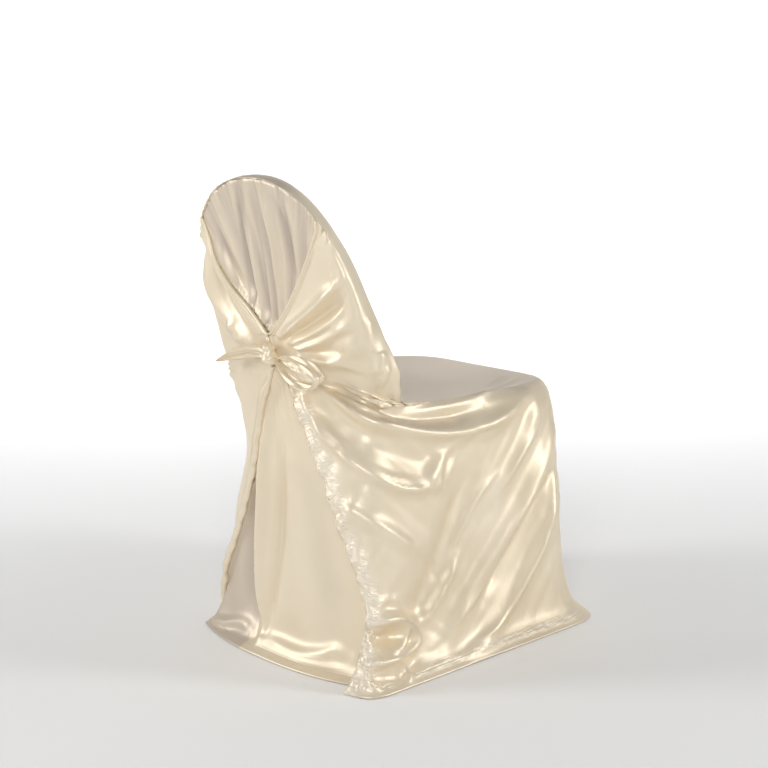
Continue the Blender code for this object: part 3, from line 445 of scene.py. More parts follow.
# finer folds of the cover, in the same columns
FINE_FOLDS = [
    # the long swag under the seat's edge and the double one below it
    (0.0040, 0.0080, 0.0090, (-0.146, 0.259, 0.510), (-0.184, 0.255, 0.484), (-0.221, 0.229, 0.463),
     (-0.232, 0.168, 0.445), (-0.236, 0.096, 0.429), (-0.237, 0.020, 0.422), (-0.236, -0.040, 0.430),
     (-0.233, -0.092, 0.441), (-0.224, -0.150, 0.460)),
    (0.0055, 0.0055, 0.0060, (-0.081, 0.283, 0.494), (-0.147, 0.281, 0.432), (-0.217, 0.262, 0.387),
     (-0.244, 0.203, 0.349), (-0.245, 0.112, 0.335)),
    (0.0050, 0.0060, 0.0050, (-0.106, 0.281, 0.476), (-0.180, 0.275, 0.424), (-0.237, 0.232, 0.377),
     (-0.244, 0.146, 0.352)),
    (0.0080, 0.0170, 0.0060, (-0.245, 0.114, 0.330), (-0.243, 0.100, 0.362), (-0.240, 0.076, 0.396)),
    (0.0040, 0.0070, 0.0100, (-0.240, 0.092, 0.390), (-0.238, 0.033, 0.412), (-0.238, -0.028, 0.408),
     (-0.234, -0.112, 0.436)),
    # the side's long slanting folds
    (0.0040, 0.0050, 0.0060, (-0.244, -0.048, 0.333), (-0.247, 0.014, 0.288), (-0.251, 0.083, 0.201)),
    (0.0050, 0.0060, 0.0070, (-0.227, -0.176, 0.441), (-0.236, -0.164, 0.401), (-0.242, -0.118, 0.365),
     (-0.245, -0.068, 0.311)),
    (0.0060, 0.0070, 0.0110, (-0.236, -0.210, 0.324), (-0.249, -0.108, 0.250), (-0.251, -0.070, 0.189),
     (-0.255, 0.004, 0.123), (-0.260, 0.092, 0.069), (-0.266, 0.144, 0.044)),
    (0.0065, 0.0110, 0.0070, (-0.232, -0.220, 0.326), (-0.247, -0.191, 0.233), (-0.252, -0.160, 0.175),
     (-0.255, -0.113, 0.122), (-0.263, -0.032, 0.050), (-0.276, 0.052, 0.023)),
    (0.0045, 0.0070, 0.0070, (-0.180, 0.288, 0.321), (-0.213, 0.281, 0.317), (-0.244, 0.239, 0.283),
     (-0.249, 0.171, 0.229)),
    # wrinkles of the seat's edge
    (0.0030, 0.0060, 0.0060, (-0.221, 0.170, 0.471), (-0.219, 0.087, 0.474), (-0.219, 0.041, 0.472),
     (-0.212, -0.037, 0.478), (-0.177, -0.138, 0.479), (-0.135, -0.230, 0.479)),
    (0.0030, 0.0050, 0.0060, (-0.213, -0.031, 0.477), (-0.177, -0.097, 0.478), (-0.105, -0.207, 0.479)),
    # the bunched corner: a roll that turns back on itself, its hollow, and the roll below it
    (0.0130, 0.0090, 0.0060, (-0.254, 0.280, 0.118), (-0.255, 0.244, 0.120), (-0.256, 0.210, 0.112),
     (-0.259, 0.180, 0.083), (-0.262, 0.176, 0.062), (-0.264, 0.202, 0.051), (-0.265, 0.241, 0.046),
     (-0.261, 0.287, 0.053)),
    (-0.0150, 0.0110, 0.0090, (-0.258, 0.268, 0.086), (-0.259, 0.245, 0.082), (-0.260, 0.222, 0.076)),
    (0.0050, 0.0050, 0.0050, (-0.258, 0.258, 0.085), (-0.259, 0.240, 0.081)),
    (0.0090, 0.0080, 0.0080, (-0.259, 0.286, 0.064), (-0.261, 0.300, 0.044), (-0.274, 0.306, 0.020),
     (-0.292, 0.297, 0.009)),
    (0.0060, 0.0060, 0.0060, (-0.269, 0.226, 0.036), (-0.282, 0.218, 0.018), (-0.303, 0.229, 0.004)),
    (-0.0070, 0.0090, 0.0090, (-0.268, 0.173, 0.037), (-0.277, 0.208, 0.024), (-0.285, 0.253, 0.016)),
    (0.0070, 0.0080, 0.0090, (-0.251, 0.276, 0.142), (-0.251, 0.246, 0.154), (-0.253, 0.211, 0.146)),
    (0.0090, 0.0100, 0.0120, (-0.256, 0.213, 0.113), (-0.258, 0.158, 0.096), (-0.255, 0.119, 0.125),
     (-0.252, 0.084, 0.164), (-0.251, 0.062, 0.197)),
    # the near wing's folds, drawn to the knot
    (0.0070, 0.0090, 0.0050, (-0.019, 0.293, 0.596), (-0.077, 0.290, 0.636), (-0.145, 0.289, 0.682),
     (-0.197, 0.290, 0.722)),
    (-0.0060, 0.0055, 0.0055, (-0.024, 0.293, 0.591), (-0.087, 0.287, 0.627), (-0.155, 0.286, 0.668)),
    (0.0070, 0.0070, 0.0060, (-0.031, 0.291, 0.585), (-0.095, 0.282, 0.614), (-0.160, 0.279, 0.651),
     (-0.189, 0.282, 0.677)),
    (-0.0050, 0.0060, 0.0060, (-0.033, 0.291, 0.582), (-0.105, 0.279, 0.609), (-0.170, 0.277, 0.640)),
    (0.0060, 0.0080, 0.0080, (-0.035, 0.290, 0.578), (-0.116, 0.276, 0.602), (-0.180, 0.274, 0.634),
     (-0.212, 0.249, 0.645)),
    (-0.0060, 0.0090, 0.0090, (-0.041, 0.290, 0.574), (-0.112, 0.272, 0.583), (-0.180, 0.262, 0.596)),
    (0.0070, 0.0120, 0.0100, (-0.041, 0.290, 0.568), (-0.108, 0.270, 0.565), (-0.161, 0.258, 0.567),
     (-0.209, 0.242, 0.556)),
    (0.0060, 0.0100, 0.0080, (-0.048, 0.289, 0.558), (-0.090, 0.278, 0.540), (-0.149, 0.259, 0.528),
     (-0.205, 0.227, 0.505)),
    (-0.0080, 0.0100, 0.0060, (-0.105, 0.273, 0.529), (-0.140, 0.263, 0.518), (-0.172, 0.256, 0.499),
     (-0.209, 0.238, 0.481), (-0.223, 0.203, 0.469)),
    (0.0060, 0.0070, 0.0070, (-0.213, 0.227, 0.533), (-0.220, 0.217, 0.551), (-0.221, 0.211, 0.568)),
    (0.0030, 0.0080, 0.0080, (-0.216, 0.196, 0.481), (-0.212, 0.183, 0.494)),
    # the far wing's
    (0.0060, 0.0070, 0.0070, (0.188, 0.303, 0.761), (0.172, 0.295, 0.721), (0.126, 0.285, 0.653),
     (0.058, 0.285, 0.595)),
    (-0.0060, 0.0080, 0.0080, (0.181, 0.299, 0.743), (0.172, 0.289, 0.696), (0.153, 0.281, 0.650),
     (0.100, 0.277, 0.600)),
    (0.0070, 0.0080, 0.0080, (0.135, 0.276, 0.617), (0.145, 0.265, 0.582), (0.106, 0.272, 0.578)),
]
# finer folds of the panel: the pleats that fan down from the crown, and the deep pleat below the tie
FINE_PANEL_FOLDS = [
    (-0.0090, 0.0110, 0.0050, (0.052, 0.323, 0.863), (0.064, 0.304, 0.789), (0.065, 0.289, 0.715),
     (0.055, 0.279, 0.641)),
    (0.0070, 0.0060, 0.0100, (0.028, 0.323, 0.864), (0.033, 0.307, 0.800), (0.035, 0.293, 0.736),
     (0.036, 0.282, 0.662)),
    (-0.0080, 0.0060, 0.0050, (0.011, 0.324, 0.865), (0.013, 0.301, 0.775), (0.017, 0.285, 0.683),
     (0.017, 0.278, 0.618)),
    (0.0065, 0.0140, 0.0080, (-0.015, 0.322, 0.857), (-0.022, 0.302, 0.777), (-0.020, 0.286, 0.686)),
    (-0.0090, 0.0050, 0.0100, (-0.058, 0.322, 0.860), (-0.065, 0.311, 0.816), (-0.067, 0.296, 0.754),
     (-0.074, 0.290, 0.728)),
    (0.0060, 0.0070, 0.0070, (-0.082, 0.320, 0.852), (-0.090, 0.315, 0.835), (-0.095, 0.309, 0.809)),
    (-0.0080, 0.0050, 0.0070, (0.132, 0.301, 0.782), (0.115, 0.287, 0.722), (0.068, 0.281, 0.665),
     (0.033, 0.277, 0.607)),
    # the deep pleat below the tie: its full roll, the slit beside it and the slack cloth beyond
    (0.0120, 0.0170, 0.0045, (0.014, 0.275, 0.545), (0.034, 0.275, 0.460), (0.046, 0.275, 0.380),
     (0.050, 0.278, 0.280), (0.052, 0.280, 0.163), (0.044, 0.290, 0.085), (0.034, 0.310, 0.020)),
    (-0.0090, 0.0045, 0.0150, (0.050, 0.275, 0.430), (0.058, 0.275, 0.360), (0.062, 0.275, 0.250),
     (0.064, 0.278, 0.163), (0.056, 0.287, 0.080), (0.046, 0.305, 0.025)),
    (0.0050, 0.0160, 0.0160, (0.092, 0.272, 0.280), (0.108, 0.272, 0.180), (0.132, 0.278, 0.080)),
    (-0.0065, 0.0090, 0.0070, (-0.007, 0.277, 0.400), (-0.003, 0.280, 0.280), (0.010, 0.284, 0.140),
     (0.022, 0.300, 0.030)),
]


class CoverSizes(bpy.types.PropertyGroup):
    """Sizes of the cloth and its stitching"""

    cloth: bpy.props.FloatProperty(
        name="Cloth", description="Thickness of the satin as it hangs", default=0.0012, min=0.0005,
        max=0.003, unit="LENGTH", precision=4)
    roll: bpy.props.FloatProperty(
        name="Rolled edge", description="Radius of the rolled edge of the wings", default=0.0034, min=0.0005,
        max=0.004, unit="LENGTH", precision=4)
    hem: bpy.props.FloatProperty(
        name="Hem", description="Depth of the hem round the floor", default=0.021, min=0.005, max=0.05,
        unit="LENGTH", precision=3)
    crumple: bpy.props.FloatProperty(
        name="Crumple", description="Height of the small uneven waves in the cloth", default=0.0008, min=0.0,
        max=0.006, unit="LENGTH", precision=4)
    gather: bpy.props.FloatProperty(
        name="Gather", description="Height of the puckers along the drawn edges", default=0.0040, min=0.0,
        max=0.006, unit="LENGTH", precision=4)


class CoverColours(bpy.types.PropertyGroup):
    """Colours of the satin, its painted shade and painted highlight, the thread and the floor"""

    satin: bpy.props.FloatVectorProperty(
        name="Satin", description="Main colour of the champagne satin", default=(0.88, 0.775, 0.60), size=3,
        min=0.0, max=1.0, subtype="COLOR")
    shade: bpy.props.FloatVectorProperty(
        name="Deeper satin", description="Colour of the satin where it runs a little deeper",
        default=(0.82, 0.705, 0.52), size=3, min=0.0, max=1.0, subtype="COLOR")
    # painted highlight: a paler colour mixed in on the drawn-up gathers and along the hem's stitched line
    ruffle_highlight: bpy.props.FloatVectorProperty(
        name="Gathered satin", description="Colour of the satin where it is drawn up and catches the light",
        default=(0.97, 0.90, 0.78), size=3, min=0.0, max=1.0, subtype="COLOR")
    # painted shade: a darker colour mixed in where the cloth is turned from the light, on the seat's top and
    # the rear panel
    painted_shade: bpy.props.FloatVectorProperty(
        name="Upright satin", description="Colour of the panel and the seat, turned from the light",
        default=(0.56, 0.48, 0.405), size=3, min=0.0, max=1.0, subtype="COLOR")
    thread: bpy.props.FloatVectorProperty(
        name="Thread", description="Colour of the sewing thread", default=(0.62, 0.50, 0.35), size=3,
        min=0.0, max=1.0, subtype="COLOR")
    floor: bpy.props.FloatVectorProperty(
        name="Floor", description="Colour of the studio floor", default=(0.95, 0.95, 0.95), size=3, min=0.0,
        max=1.0, subtype="COLOR")
    gloss: bpy.props.FloatProperty(
        name="Roughness", description="Roughness of the satin", default=0.42, min=0.0, max=1.0,
        subtype="FACTOR")


# materials
def add_node(tree, kind, place, **values):
    node = tree.nodes.new(kind)
    node.location = place
    for name, value in values.items():
        setattr(node, name, value)
    return node


def set_inputs(node, values):
    for name, value in values.items():
        node.inputs[name].default_value = value


def satin_material(name, colours, roughness, stitch=0.0, weave=0.9):
    """Satin with a fine weave, small creases, uneven sheen, painted shade where "turned", a painted highlight
    on the "drawn" gathers and, if asked, a stitched line above the hem.
    """
    made = bpy.data.materials.new(name)
    made.use_nodes = True
    tree = made.node_tree
    shader = tree.nodes["Principled BSDF"]
    shader.location = (900, 0)
    link = tree.links.new
    place = add_node(tree, "ShaderNodeTexCoord", (-1200, 0))
    uv = add_node(tree, "ShaderNodeUVMap", (-1200, -300), uv_map="cloth")
    mottle = add_node(tree, "ShaderNodeTexNoise", (-900, 250))
    set_inputs(mottle, {"Scale": 5.0, "Detail": 4.0})
    link(place.outputs["Object"], mottle.inputs["Vector"])
    ramp = add_node(tree, "ShaderNodeValToRGB", (-650, 250))
    ramp.color_ramp.elements[0].position = 0.35
    ramp.color_ramp.elements[0].color = (*colours.shade, 1)
    ramp.color_ramp.elements[1].position = 0.60
    ramp.color_ramp.elements[1].color = (*colours.satin, 1)
    link(mottle.outputs["Fac"], ramp.inputs["Fac"])
    # painted shade: the "turned" share mixes a darker colour into the satin where the light falls less
    turned = add_node(tree, "ShaderNodeAttribute", (-650, 500), attribute_name="turned")
    shade_mixed = add_node(tree, "ShaderNodeMix", (-350, 350), data_type="RGBA")
    link(turned.outputs["Fac"], shade_mixed.inputs[0])
    link(ramp.outputs["Color"], shade_mixed.inputs[6])
    shade_mixed.inputs[7].default_value = (*colours.painted_shade, 1)
    # fine gathers where the cloth is drawn up: a bump, and a painted highlight that mixes in a paler colour
    gather_map = add_node(tree, "ShaderNodeMapping", (-950, 700))
    set_inputs(gather_map, {"Scale": (45.0, 150.0, 1.0), "Rotation": (0.0, 0.0, 0.35)})
    link(uv.outputs["UV"], gather_map.inputs["Vector"])
    gathers = add_node(tree, "ShaderNodeTexNoise", (-720, 700))
    set_inputs(gathers, {"Scale": 1.0, "Detail": 3.0, "Distortion": 0.6})
    link(gather_map.outputs["Vector"], gathers.inputs["Vector"])
    drawn = add_node(tree, "ShaderNodeAttribute", (-720, 950), attribute_name="drawn")
    gathers_and_highlight = add_node(tree, "ShaderNodeMath", (-450, 800), operation="MULTIPLY")
    link(gathers.outputs["Fac"], gathers_and_highlight.inputs[0])
    link(drawn.outputs["Fac"], gathers_and_highlight.inputs[1])
    highlight_mixed = add_node(tree, "ShaderNodeMix", (-150, 450), data_type="RGBA")
    link(gathers_and_highlight.outputs["Value"], highlight_mixed.inputs[0])
    link(shade_mixed.outputs[2], highlight_mixed.inputs[6])
    highlight_mixed.inputs[7].default_value = (*colours.ruffle_highlight, 1)
    colour_out = highlight_mixed.outputs[2]
    # the weave: long floats across the cloth
    grain = add_node(tree, "ShaderNodeMapping", (-950, -300))
    grain.inputs["Scale"].default_value = (1100.0, 260.0, 1.0)
    link(uv.outputs["UV"], grain.inputs["Vector"])
    threads = add_node(tree, "ShaderNodeTexNoise", (-720, -300))
    set_inputs(threads, {"Scale": 1.0, "Detail": 2.0})
    link(grain.outputs["Vector"], threads.inputs["Vector"])
    crease_map = add_node(tree, "ShaderNodeMapping", (-950, -650))
    set_inputs(crease_map, {"Scale": (30.0, 12.0, 1.0), "Rotation": (0.0, 0.0, 0.5)})
    link(uv.outputs["UV"], crease_map.inputs["Vector"])
    creases = add_node(tree, "ShaderNodeTexNoise", (-720, -650))
    set_inputs(creases, {"Scale": 1.0, "Detail": 5.0, "Roughness": 0.55, "Distortion": 0.8})
    link(crease_map.outputs["Vector"], creases.inputs["Vector"])
    bump_creases = add_node(tree, "ShaderNodeBump", (200, -500))
    set_inputs(bump_creases, {"Strength": 0.15, "Distance": 0.004})
    link(creases.outputs["Fac"], bump_creases.inputs["Height"])
    bump_gathers = add_node(tree, "ShaderNodeBump", (330, -420))
    set_inputs(bump_gathers, {"Strength": 0.8, "Distance": 0.0055})
    link(gathers_and_highlight.outputs["Value"], bump_gathers.inputs["Height"])
    link(bump_creases.outputs["Normal"], bump_gathers.inputs["Normal"])
    bump_weave = add_node(tree, "ShaderNodeBump", (450, -350))
    set_inputs(bump_weave, {"Strength": 0.12 * weave, "Distance": 0.0004})
    link(threads.outputs["Fac"], bump_weave.inputs["Height"])
    link(bump_gathers.outputs["Normal"], bump_weave.inputs["Normal"])
    last = bump_weave
    if stitch > 0:
        split = add_node(tree, "ShaderNodeSeparateXYZ", (-720, -950))
        link(uv.outputs["UV"], split.inputs["Vector"])
        away = add_node(tree, "ShaderNodeMath", (-500, -950), operation="SUBTRACT")
        away.inputs[1].default_value = stitch
        link(split.outputs["Y"], away.inputs[0])
        flat = add_node(tree, "ShaderNodeMath", (-320, -950), operation="ABSOLUTE")
        link(away.outputs["Value"], flat.inputs[0])
        line = add_node(tree, "ShaderNodeMapRange", (-140, -950))
        set_inputs(line, {"From Min": 0.0006, "From Max": 0.0022, "To Min": 1.0, "To Max": 0.0})
        link(flat.outputs["Value"], line.inputs["Value"])
        dashes = add_node(tree, "ShaderNodeTexWave", (-320, -1200), bands_direction="X")
        dashes.inputs["Scale"].default_value = 60.0
        link(uv.outputs["UV"], dashes.inputs["Vector"])
        seam = add_node(tree, "ShaderNodeMath", (60, -1050), operation="MULTIPLY")
        link(line.outputs["Result"], seam.inputs[0])
        link(dashes.outputs["Fac"], seam.inputs[1])
        bump_seam = add_node(tree, "ShaderNodeBump", (620, -600), invert=True)
        set_inputs(bump_seam, {"Strength": 0.3, "Distance": 0.0010})
        link(line.outputs["Result"], bump_seam.inputs["Height"])
        link(last.outputs["Normal"], bump_seam.inputs["Normal"])
        last = bump_seam
        sewn = add_node(tree, "ShaderNodeMix", (300, 250), data_type="RGBA")
        faint = add_node(tree, "ShaderNodeMath", (180, -900), operation="MULTIPLY")
        faint.inputs[1].default_value = 0.35
        link(seam.outputs["Value"], faint.inputs[0])
        link(faint.outputs["Value"], sewn.inputs[0])
        link(colour_out, sewn.inputs[6])
        sewn.inputs[7].default_value = (*colours.thread, 1)
        colour_out = sewn.outputs[2]
    gloss = add_node(tree, "ShaderNodeMapRange", (300, 0))
    set_inputs(gloss, {"From Min": 0.3, "From Max": 0.7, "To Min": roughness - 0.04,
                       "To Max": roughness + 0.06})
    link(mottle.outputs["Fac"], gloss.inputs["Value"])
    link(gloss.outputs["Result"], shader.inputs["Roughness"])
    link(colour_out, shader.inputs["Base Color"])
    link(last.outputs["Normal"], shader.inputs["Normal"])
    set_inputs(shader, {"Metallic": 0.36, "Specular IOR Level": 0.75,
                        "Specular Tint": (0.90, 0.84, 0.78, 1), "Sheen Weight": 0.03,
                        "Sheen Roughness": 0.35, "Sheen Tint": (1.0, 0.95, 0.86, 1)})
    return made


# making meshes
def grid_faces(rows, columns):
    i, j = np.meshgrid(np.arange(rows - 1), np.arange(columns - 1), indexing="ij")
    a = (i * columns + j).ravel()
    return np.stack([a, a + 1, a + columns + 1, a + columns], -1).tolist()


def new_piece(name, points, faces, material, slot):
    mesh = bpy.data.meshes.new(name)
    mesh.from_pydata([tuple(map(float, q)) for q in points], [], faces)
    mesh.transform(Matrix.Translation([-m for m in MIDDLE]))
    mesh.materials.append(material)
    mesh.shade_smooth()
    piece = bpy.data.objects.new(name, mesh)
    bpy.context.scene.collection.objects.link(piece)
    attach(piece, "root")
    return piece


def cloth_uv(mesh, across, along):
    layer = mesh.uv_layers.new(name="cloth")
    index = np.empty(len(mesh.loops), dtype=np.int32)
    mesh.loops.foreach_get("vertex_index", index)
    uv = np.stack([across.ravel()[index], along.ravel()[index]], -1)
    layer.data.foreach_set("uv", uv.astype(np.float32).ravel())


def mark_cloth(mesh, name, share):
    """A share from 0 to 1 at each point, for the material: "turned" where painted shade is mixed in, "drawn"
    where the gathers' bump and a painted highlight go.
    """
    layer = mesh.attributes.new(name, "FLOAT", "POINT")
    layer.data.foreach_set("value", share.astype(np.float32).ravel())


def run(p, axis):
    """Length along the rows or columns of a grid of points."""
    step = np.linalg.norm(np.diff(p, axis=axis), axis=2)
    size = [(0, 0), (0, 0)]
    size[axis] = (1, 0)
    return np.pad(np.cumsum(step, axis=axis), size)


def cloth_piece(name, grid, thickness, material, slot, across=None, along=None):
    rows, columns = grid.shape[:2]
    piece = new_piece(name, grid.reshape(-1, 3), grid_faces(rows, columns), material, slot)
    across = run(grid, 1) if across is None else across
    along = run(grid, 0) if along is None else along
    cloth_uv(piece.data, across, along)
    solid = piece.modifiers.new("cloth thickness", "SOLIDIFY")
    solid.thickness = thickness
    solid.offset = -1.0
    solid.use_rim = True
    return piece


def swept_tube(path, radius, sides=8, wave=0.0, pitch=0.01):
    """Points and faces of a thin closed roll along a path, its radius rising and falling by wave."""
    path = np.array(path)
    along = np.gradient(path, axis=0)
    along = along / np.linalg.norm(along, axis=1)[:, None]
    out = np.cross(along, (0.0, 0.0, 1.0))
    out = out / np.maximum(np.linalg.norm(out, axis=1), 1e-6)[:, None]
    up = np.cross(out, along)
    s = lengths(path)
    size = radius * (1 + wave * np.sin(2 * np.pi * s / pitch + 2 * np.sin(s * 40)))
    size[[0, -1]] *= 0.4
    turn = np.linspace(0, 2 * np.pi, sides, endpoint=False)
    rings = path[:, None] + size[:, None, None] * (
        np.cos(turn)[None, :, None] * up[:, None] + np.sin(turn)[None, :, None] * out[:, None])
    return closed_rings(rings)


def closed_rings(rings):
    """Points and faces of rings joined in order and closed by a point at each end."""
    count = rings.shape[1]
    points = list(rings.reshape(-1, 3))
    faces = []
    for i in range(len(rings) - 1):
        for j in range(count):
            k = (j + 1) % count
            faces.append((i * count + j, i * count + k, (i + 1) * count + k, (i + 1) * count + j))
    points.append(rings[0].mean(axis=0))
    points.append(rings[-1].mean(axis=0))
    last = (len(rings) - 1) * count
    for j in range(count):
        k = (j + 1) % count
        faces.append((len(points) - 2, k, j))
        faces.append((len(points) - 1, last + j, last + k))
    return points, faces


def crumpled(p, size, height, seed, octaves=3):
    """Small uneven waves, the same on every run."""
    shift = Vector((seed * 7.1, seed * 3.7, seed * 5.3))
    flat = (p / np.array(size)).reshape(-1, 3)
    lift = [noise.fractal(Vector(q) + shift, 0.8, 2.1, octaves) for q in flat]
    return height * np.array(lift).reshape(p.shape[:2])


def eased(value, low, high):
    """A smooth step from 0 at low to 1 at high."""
    t = np.clip((value - low) / (high - low), 0, 1)
    return t * t * (3 - 2 * t)


def hump(value, centre, width):
    """A soft hump, 1 at the centre."""
    return np.exp(-((value - centre) / width) ** 2)


# the cover: how its free edges are drawn up, as a share of the gather, and the puckers' spacing and reach
DRAWN = dict(
    near=dict(share=1.0, spacing=0.018, reach=0.080),
    far=dict(share=0.4, spacing=0.030, reach=0.030),
)
# the wings' rolled edges: height, and for each the distance from the edge and the width
WING_ROLL = dict(height=0.0035, near=(0.006, 0.004), far=(0.007, 0.005))
# the far flap's turned-in edge: height, and its crest's and hollow's distance from the edge
FLAP_ROLL = dict(height=0.0100, crest=0.011, hollow=0.024, width=0.0070)
# long streaks of the side: the front part's run up to the seat's front, the rear part's along the swag
STREAKS = [dict(slope=(0.675, -0.738), seed=7), dict(slope=(-0.75, -0.66), seed=8)]
# columns to each side of the middle that are smoothed, and how often
SMOOTHED = dict(columns=14, passes=60)


def drawn_edge(away, line, height, spacing, reach):
    """Puckers of a drawn edge: slanting folds of uneven length that run from it into the cloth."""
    lift = 0 * away
    for k in range(int(line.max() / spacing) + 1):
        uneven = (k * 0.618) % 1
        other = (k * 0.414 + 0.3) % 1
        start = (k + 0.8 * uneven) * spacing
        slant = 0.2 + 0.9 * other
        wide = spacing * (0.22 + 0.20 * uneven)
        high = height * (0.4 + 0.9 * other) * (1 if k % 3 else -1)
        deep = reach * (0.35 + 1.2 * uneven ** 2)
        lift = lift + high * np.exp(-((line - start - slant * away) / (wide + 0.14 * away)) ** 2
                                    - (away / deep) ** 2)
    flat = np.stack([line + 0.4 * away, away, 0 * away], -1)
    return lift + 0.8 * height * crumpled(flat, (0.016, 0.030, 1.0), 1.0, 11) * hump(away, 0.0, 0.040)


def edge_lift(z, across, along, gather):
    """The free edges: drawn up on the skirt, rolled on the wings, and the far flap's turned in."""
    skirt = eased(z, 0.0, 0.05) * (1 - eased(z, 0.49, 0.53))
    wing = eased(z, 0.575, 0.60) * (1 - eased(z, 0.75, 0.79))
    from_far = across[:, -1:] - across
    lift = 0 * z
    for side, away, line in (("near", across, along[:, :1]), ("far", from_far, along[:, -1:])):
        drawn = DRAWN[side]
        puckers = drawn_edge(away, line, gather, drawn["spacing"], drawn["reach"])
        lift = lift + drawn["share"] * skirt * puckers
        lift = lift + WING_ROLL["height"] * wing * hump(away, *WING_ROLL[side])
    crest = hump(from_far, FLAP_ROLL["crest"], FLAP_ROLL["width"])
    hollow = hump(from_far, FLAP_ROLL["hollow"], FLAP_ROLL["width"])
    return lift + FLAP_ROLL["height"] * skirt * (crest - hollow)


def wave_lift(p, normal, crumple):
    """Small waves, least on the seat and the back's front, and the long streaks of the side."""
    x, y, z = p[..., 0], p[..., 1], p[..., 2]
    seat = eased(normal[..., 2], 0.5, 0.95) * (z > 0.4)
    front = eased(-normal[..., 1], 0.3, 0.9) * (z > 0.5)
    corner = hump(y, 0.24, 0.07) * (1 - eased(z, 0.10, 0.20)) * (x < 0)
    lift = crumpled(p, 0.085, crumple, 1, 2) * (1 - 0.9 * np.maximum(seat, front))
    lift = lift + crumpled(p, 0.026, crumple * 1.8, 2) * corner
    beside = eased(-normal[..., 0], 0.3, 0.8) * (1 - eased(z, 0.42, 0.46)) * eased(z, 0.02, 0.08)
    rearward = eased(y, 0.02, 0.14)
    for streak, mix in zip(STREAKS, (1 - rearward, rearward)):
        a, b = streak["slope"]
        flat = np.stack([a * y + b * z, a * z - b * y, 0 * y], -1)
        lift = lift + mix * beside * crumpled(flat, (0.240, 0.036, 1.0), 4.5 * crumple, streak["seed"], 2)
    return lift


def seam_lift(p, normal, along, sizes):
    """Puckers along the side band's edge, the crown's seam and the hem's stitching."""
    x, z = p[..., 0], p[..., 2]
    band = hump(np.abs(x), 0.85 * rim_half(RIM["near_rear"], z), 0.012) * eased(z, 0.66, 0.72)
    band = band * (normal[..., 1] > 0) * (x < 0)
    crown = hump(along[-1:] - along, 0.0, 0.012) * (z > 0.72)
    lift = 0.4 * sizes.gather * band * crumpled(p, 0.012, 1.0, 3, 2)
    lift = lift + 0.4 * sizes.gather * crown * crumpled(p, 0.010, 1.0, 4, 2)
    return lift + 0.5 * sizes.gather * hump(along, sizes.hem, 0.008) * crumpled(p, 0.009, 1.0, 5, 2)


def cover_cloth(sizes):
    p = body_base()
    # the two halves of the back's front run into each other without a crease
    middle = int(np.abs(p[-1, :, 0]).argmin())
    front = p[STEPS[0]:, middle - SMOOTHED["columns"]:middle + SMOOTHED["columns"] + 1, 1]
    for _ in range(SMOOTHED["passes"]):
        front[:, 1:-1] += 0.25 * (front[:, 2:] + front[:, :-2] - 2 * front[:, 1:-1])
    normal = surface_normals(p)
    across, along = run(p, 1), run(p, 0)
    x, z = p[..., 0], p[..., 2]
    lift = sum(fold_height(p, normal, fold) for fold in FOLDS + FINE_FOLDS)
    face = np.clip(-normal[..., 1], 0, 1) * np.clip((0.44 - z) / 0.3, 0, 1)
    for flute in FLUTES:
        lift = lift + flute["height"] * face * hump(x, flute["x"], flute["width"])
    lift = lift + edge_lift(z, across, along, sizes.gather)
    lift = lift + wave_lift(p, normal, sizes.crumple)
    lift = lift + seam_lift(p, normal, along, sizes)
    # the cloth is pressed flat under the knot
    from_knot = (x - KNOT["centre"][0]) ** 2 + (z - KNOT["centre"][2]) ** 2
    pressed = hump(from_knot, 0.0, KNOT["pressed"] ** 2) * (normal[..., 1] > 0)
    lift = lift - 0.95 * np.maximum(lift, 0) * pressed
    lift = lift * np.clip((z - 0.002) / 0.010, 0.0, 1)
    return p + normal * lift[..., None], across, along


def tucked(p, edge):
    """The panel drawn in against the cover's free edge, which lies over it."""
    gap = p[..., None, (0, 2)] - edge[:, (0, 2)]
    near = (gap ** 2).sum(-1).argmin(axis=-1)
    away = np.take_along_axis(gap, near[..., None, None], axis=2)[..., 0, :]
    far = np.linalg.norm(away, axis=-1)
    hidden = away[..., 0] * np.sign(edge[near, 0] - KNOT["centre"][0]) > 0
    pull = hump(far, 0.0, np.where(hidden, 0.005, 0.009)) * eased(p[..., 2], 0.008, 0.026)
    p[..., 1] += (edge[near, 1] - 0.0018 - p[..., 1]) * pull
    return p


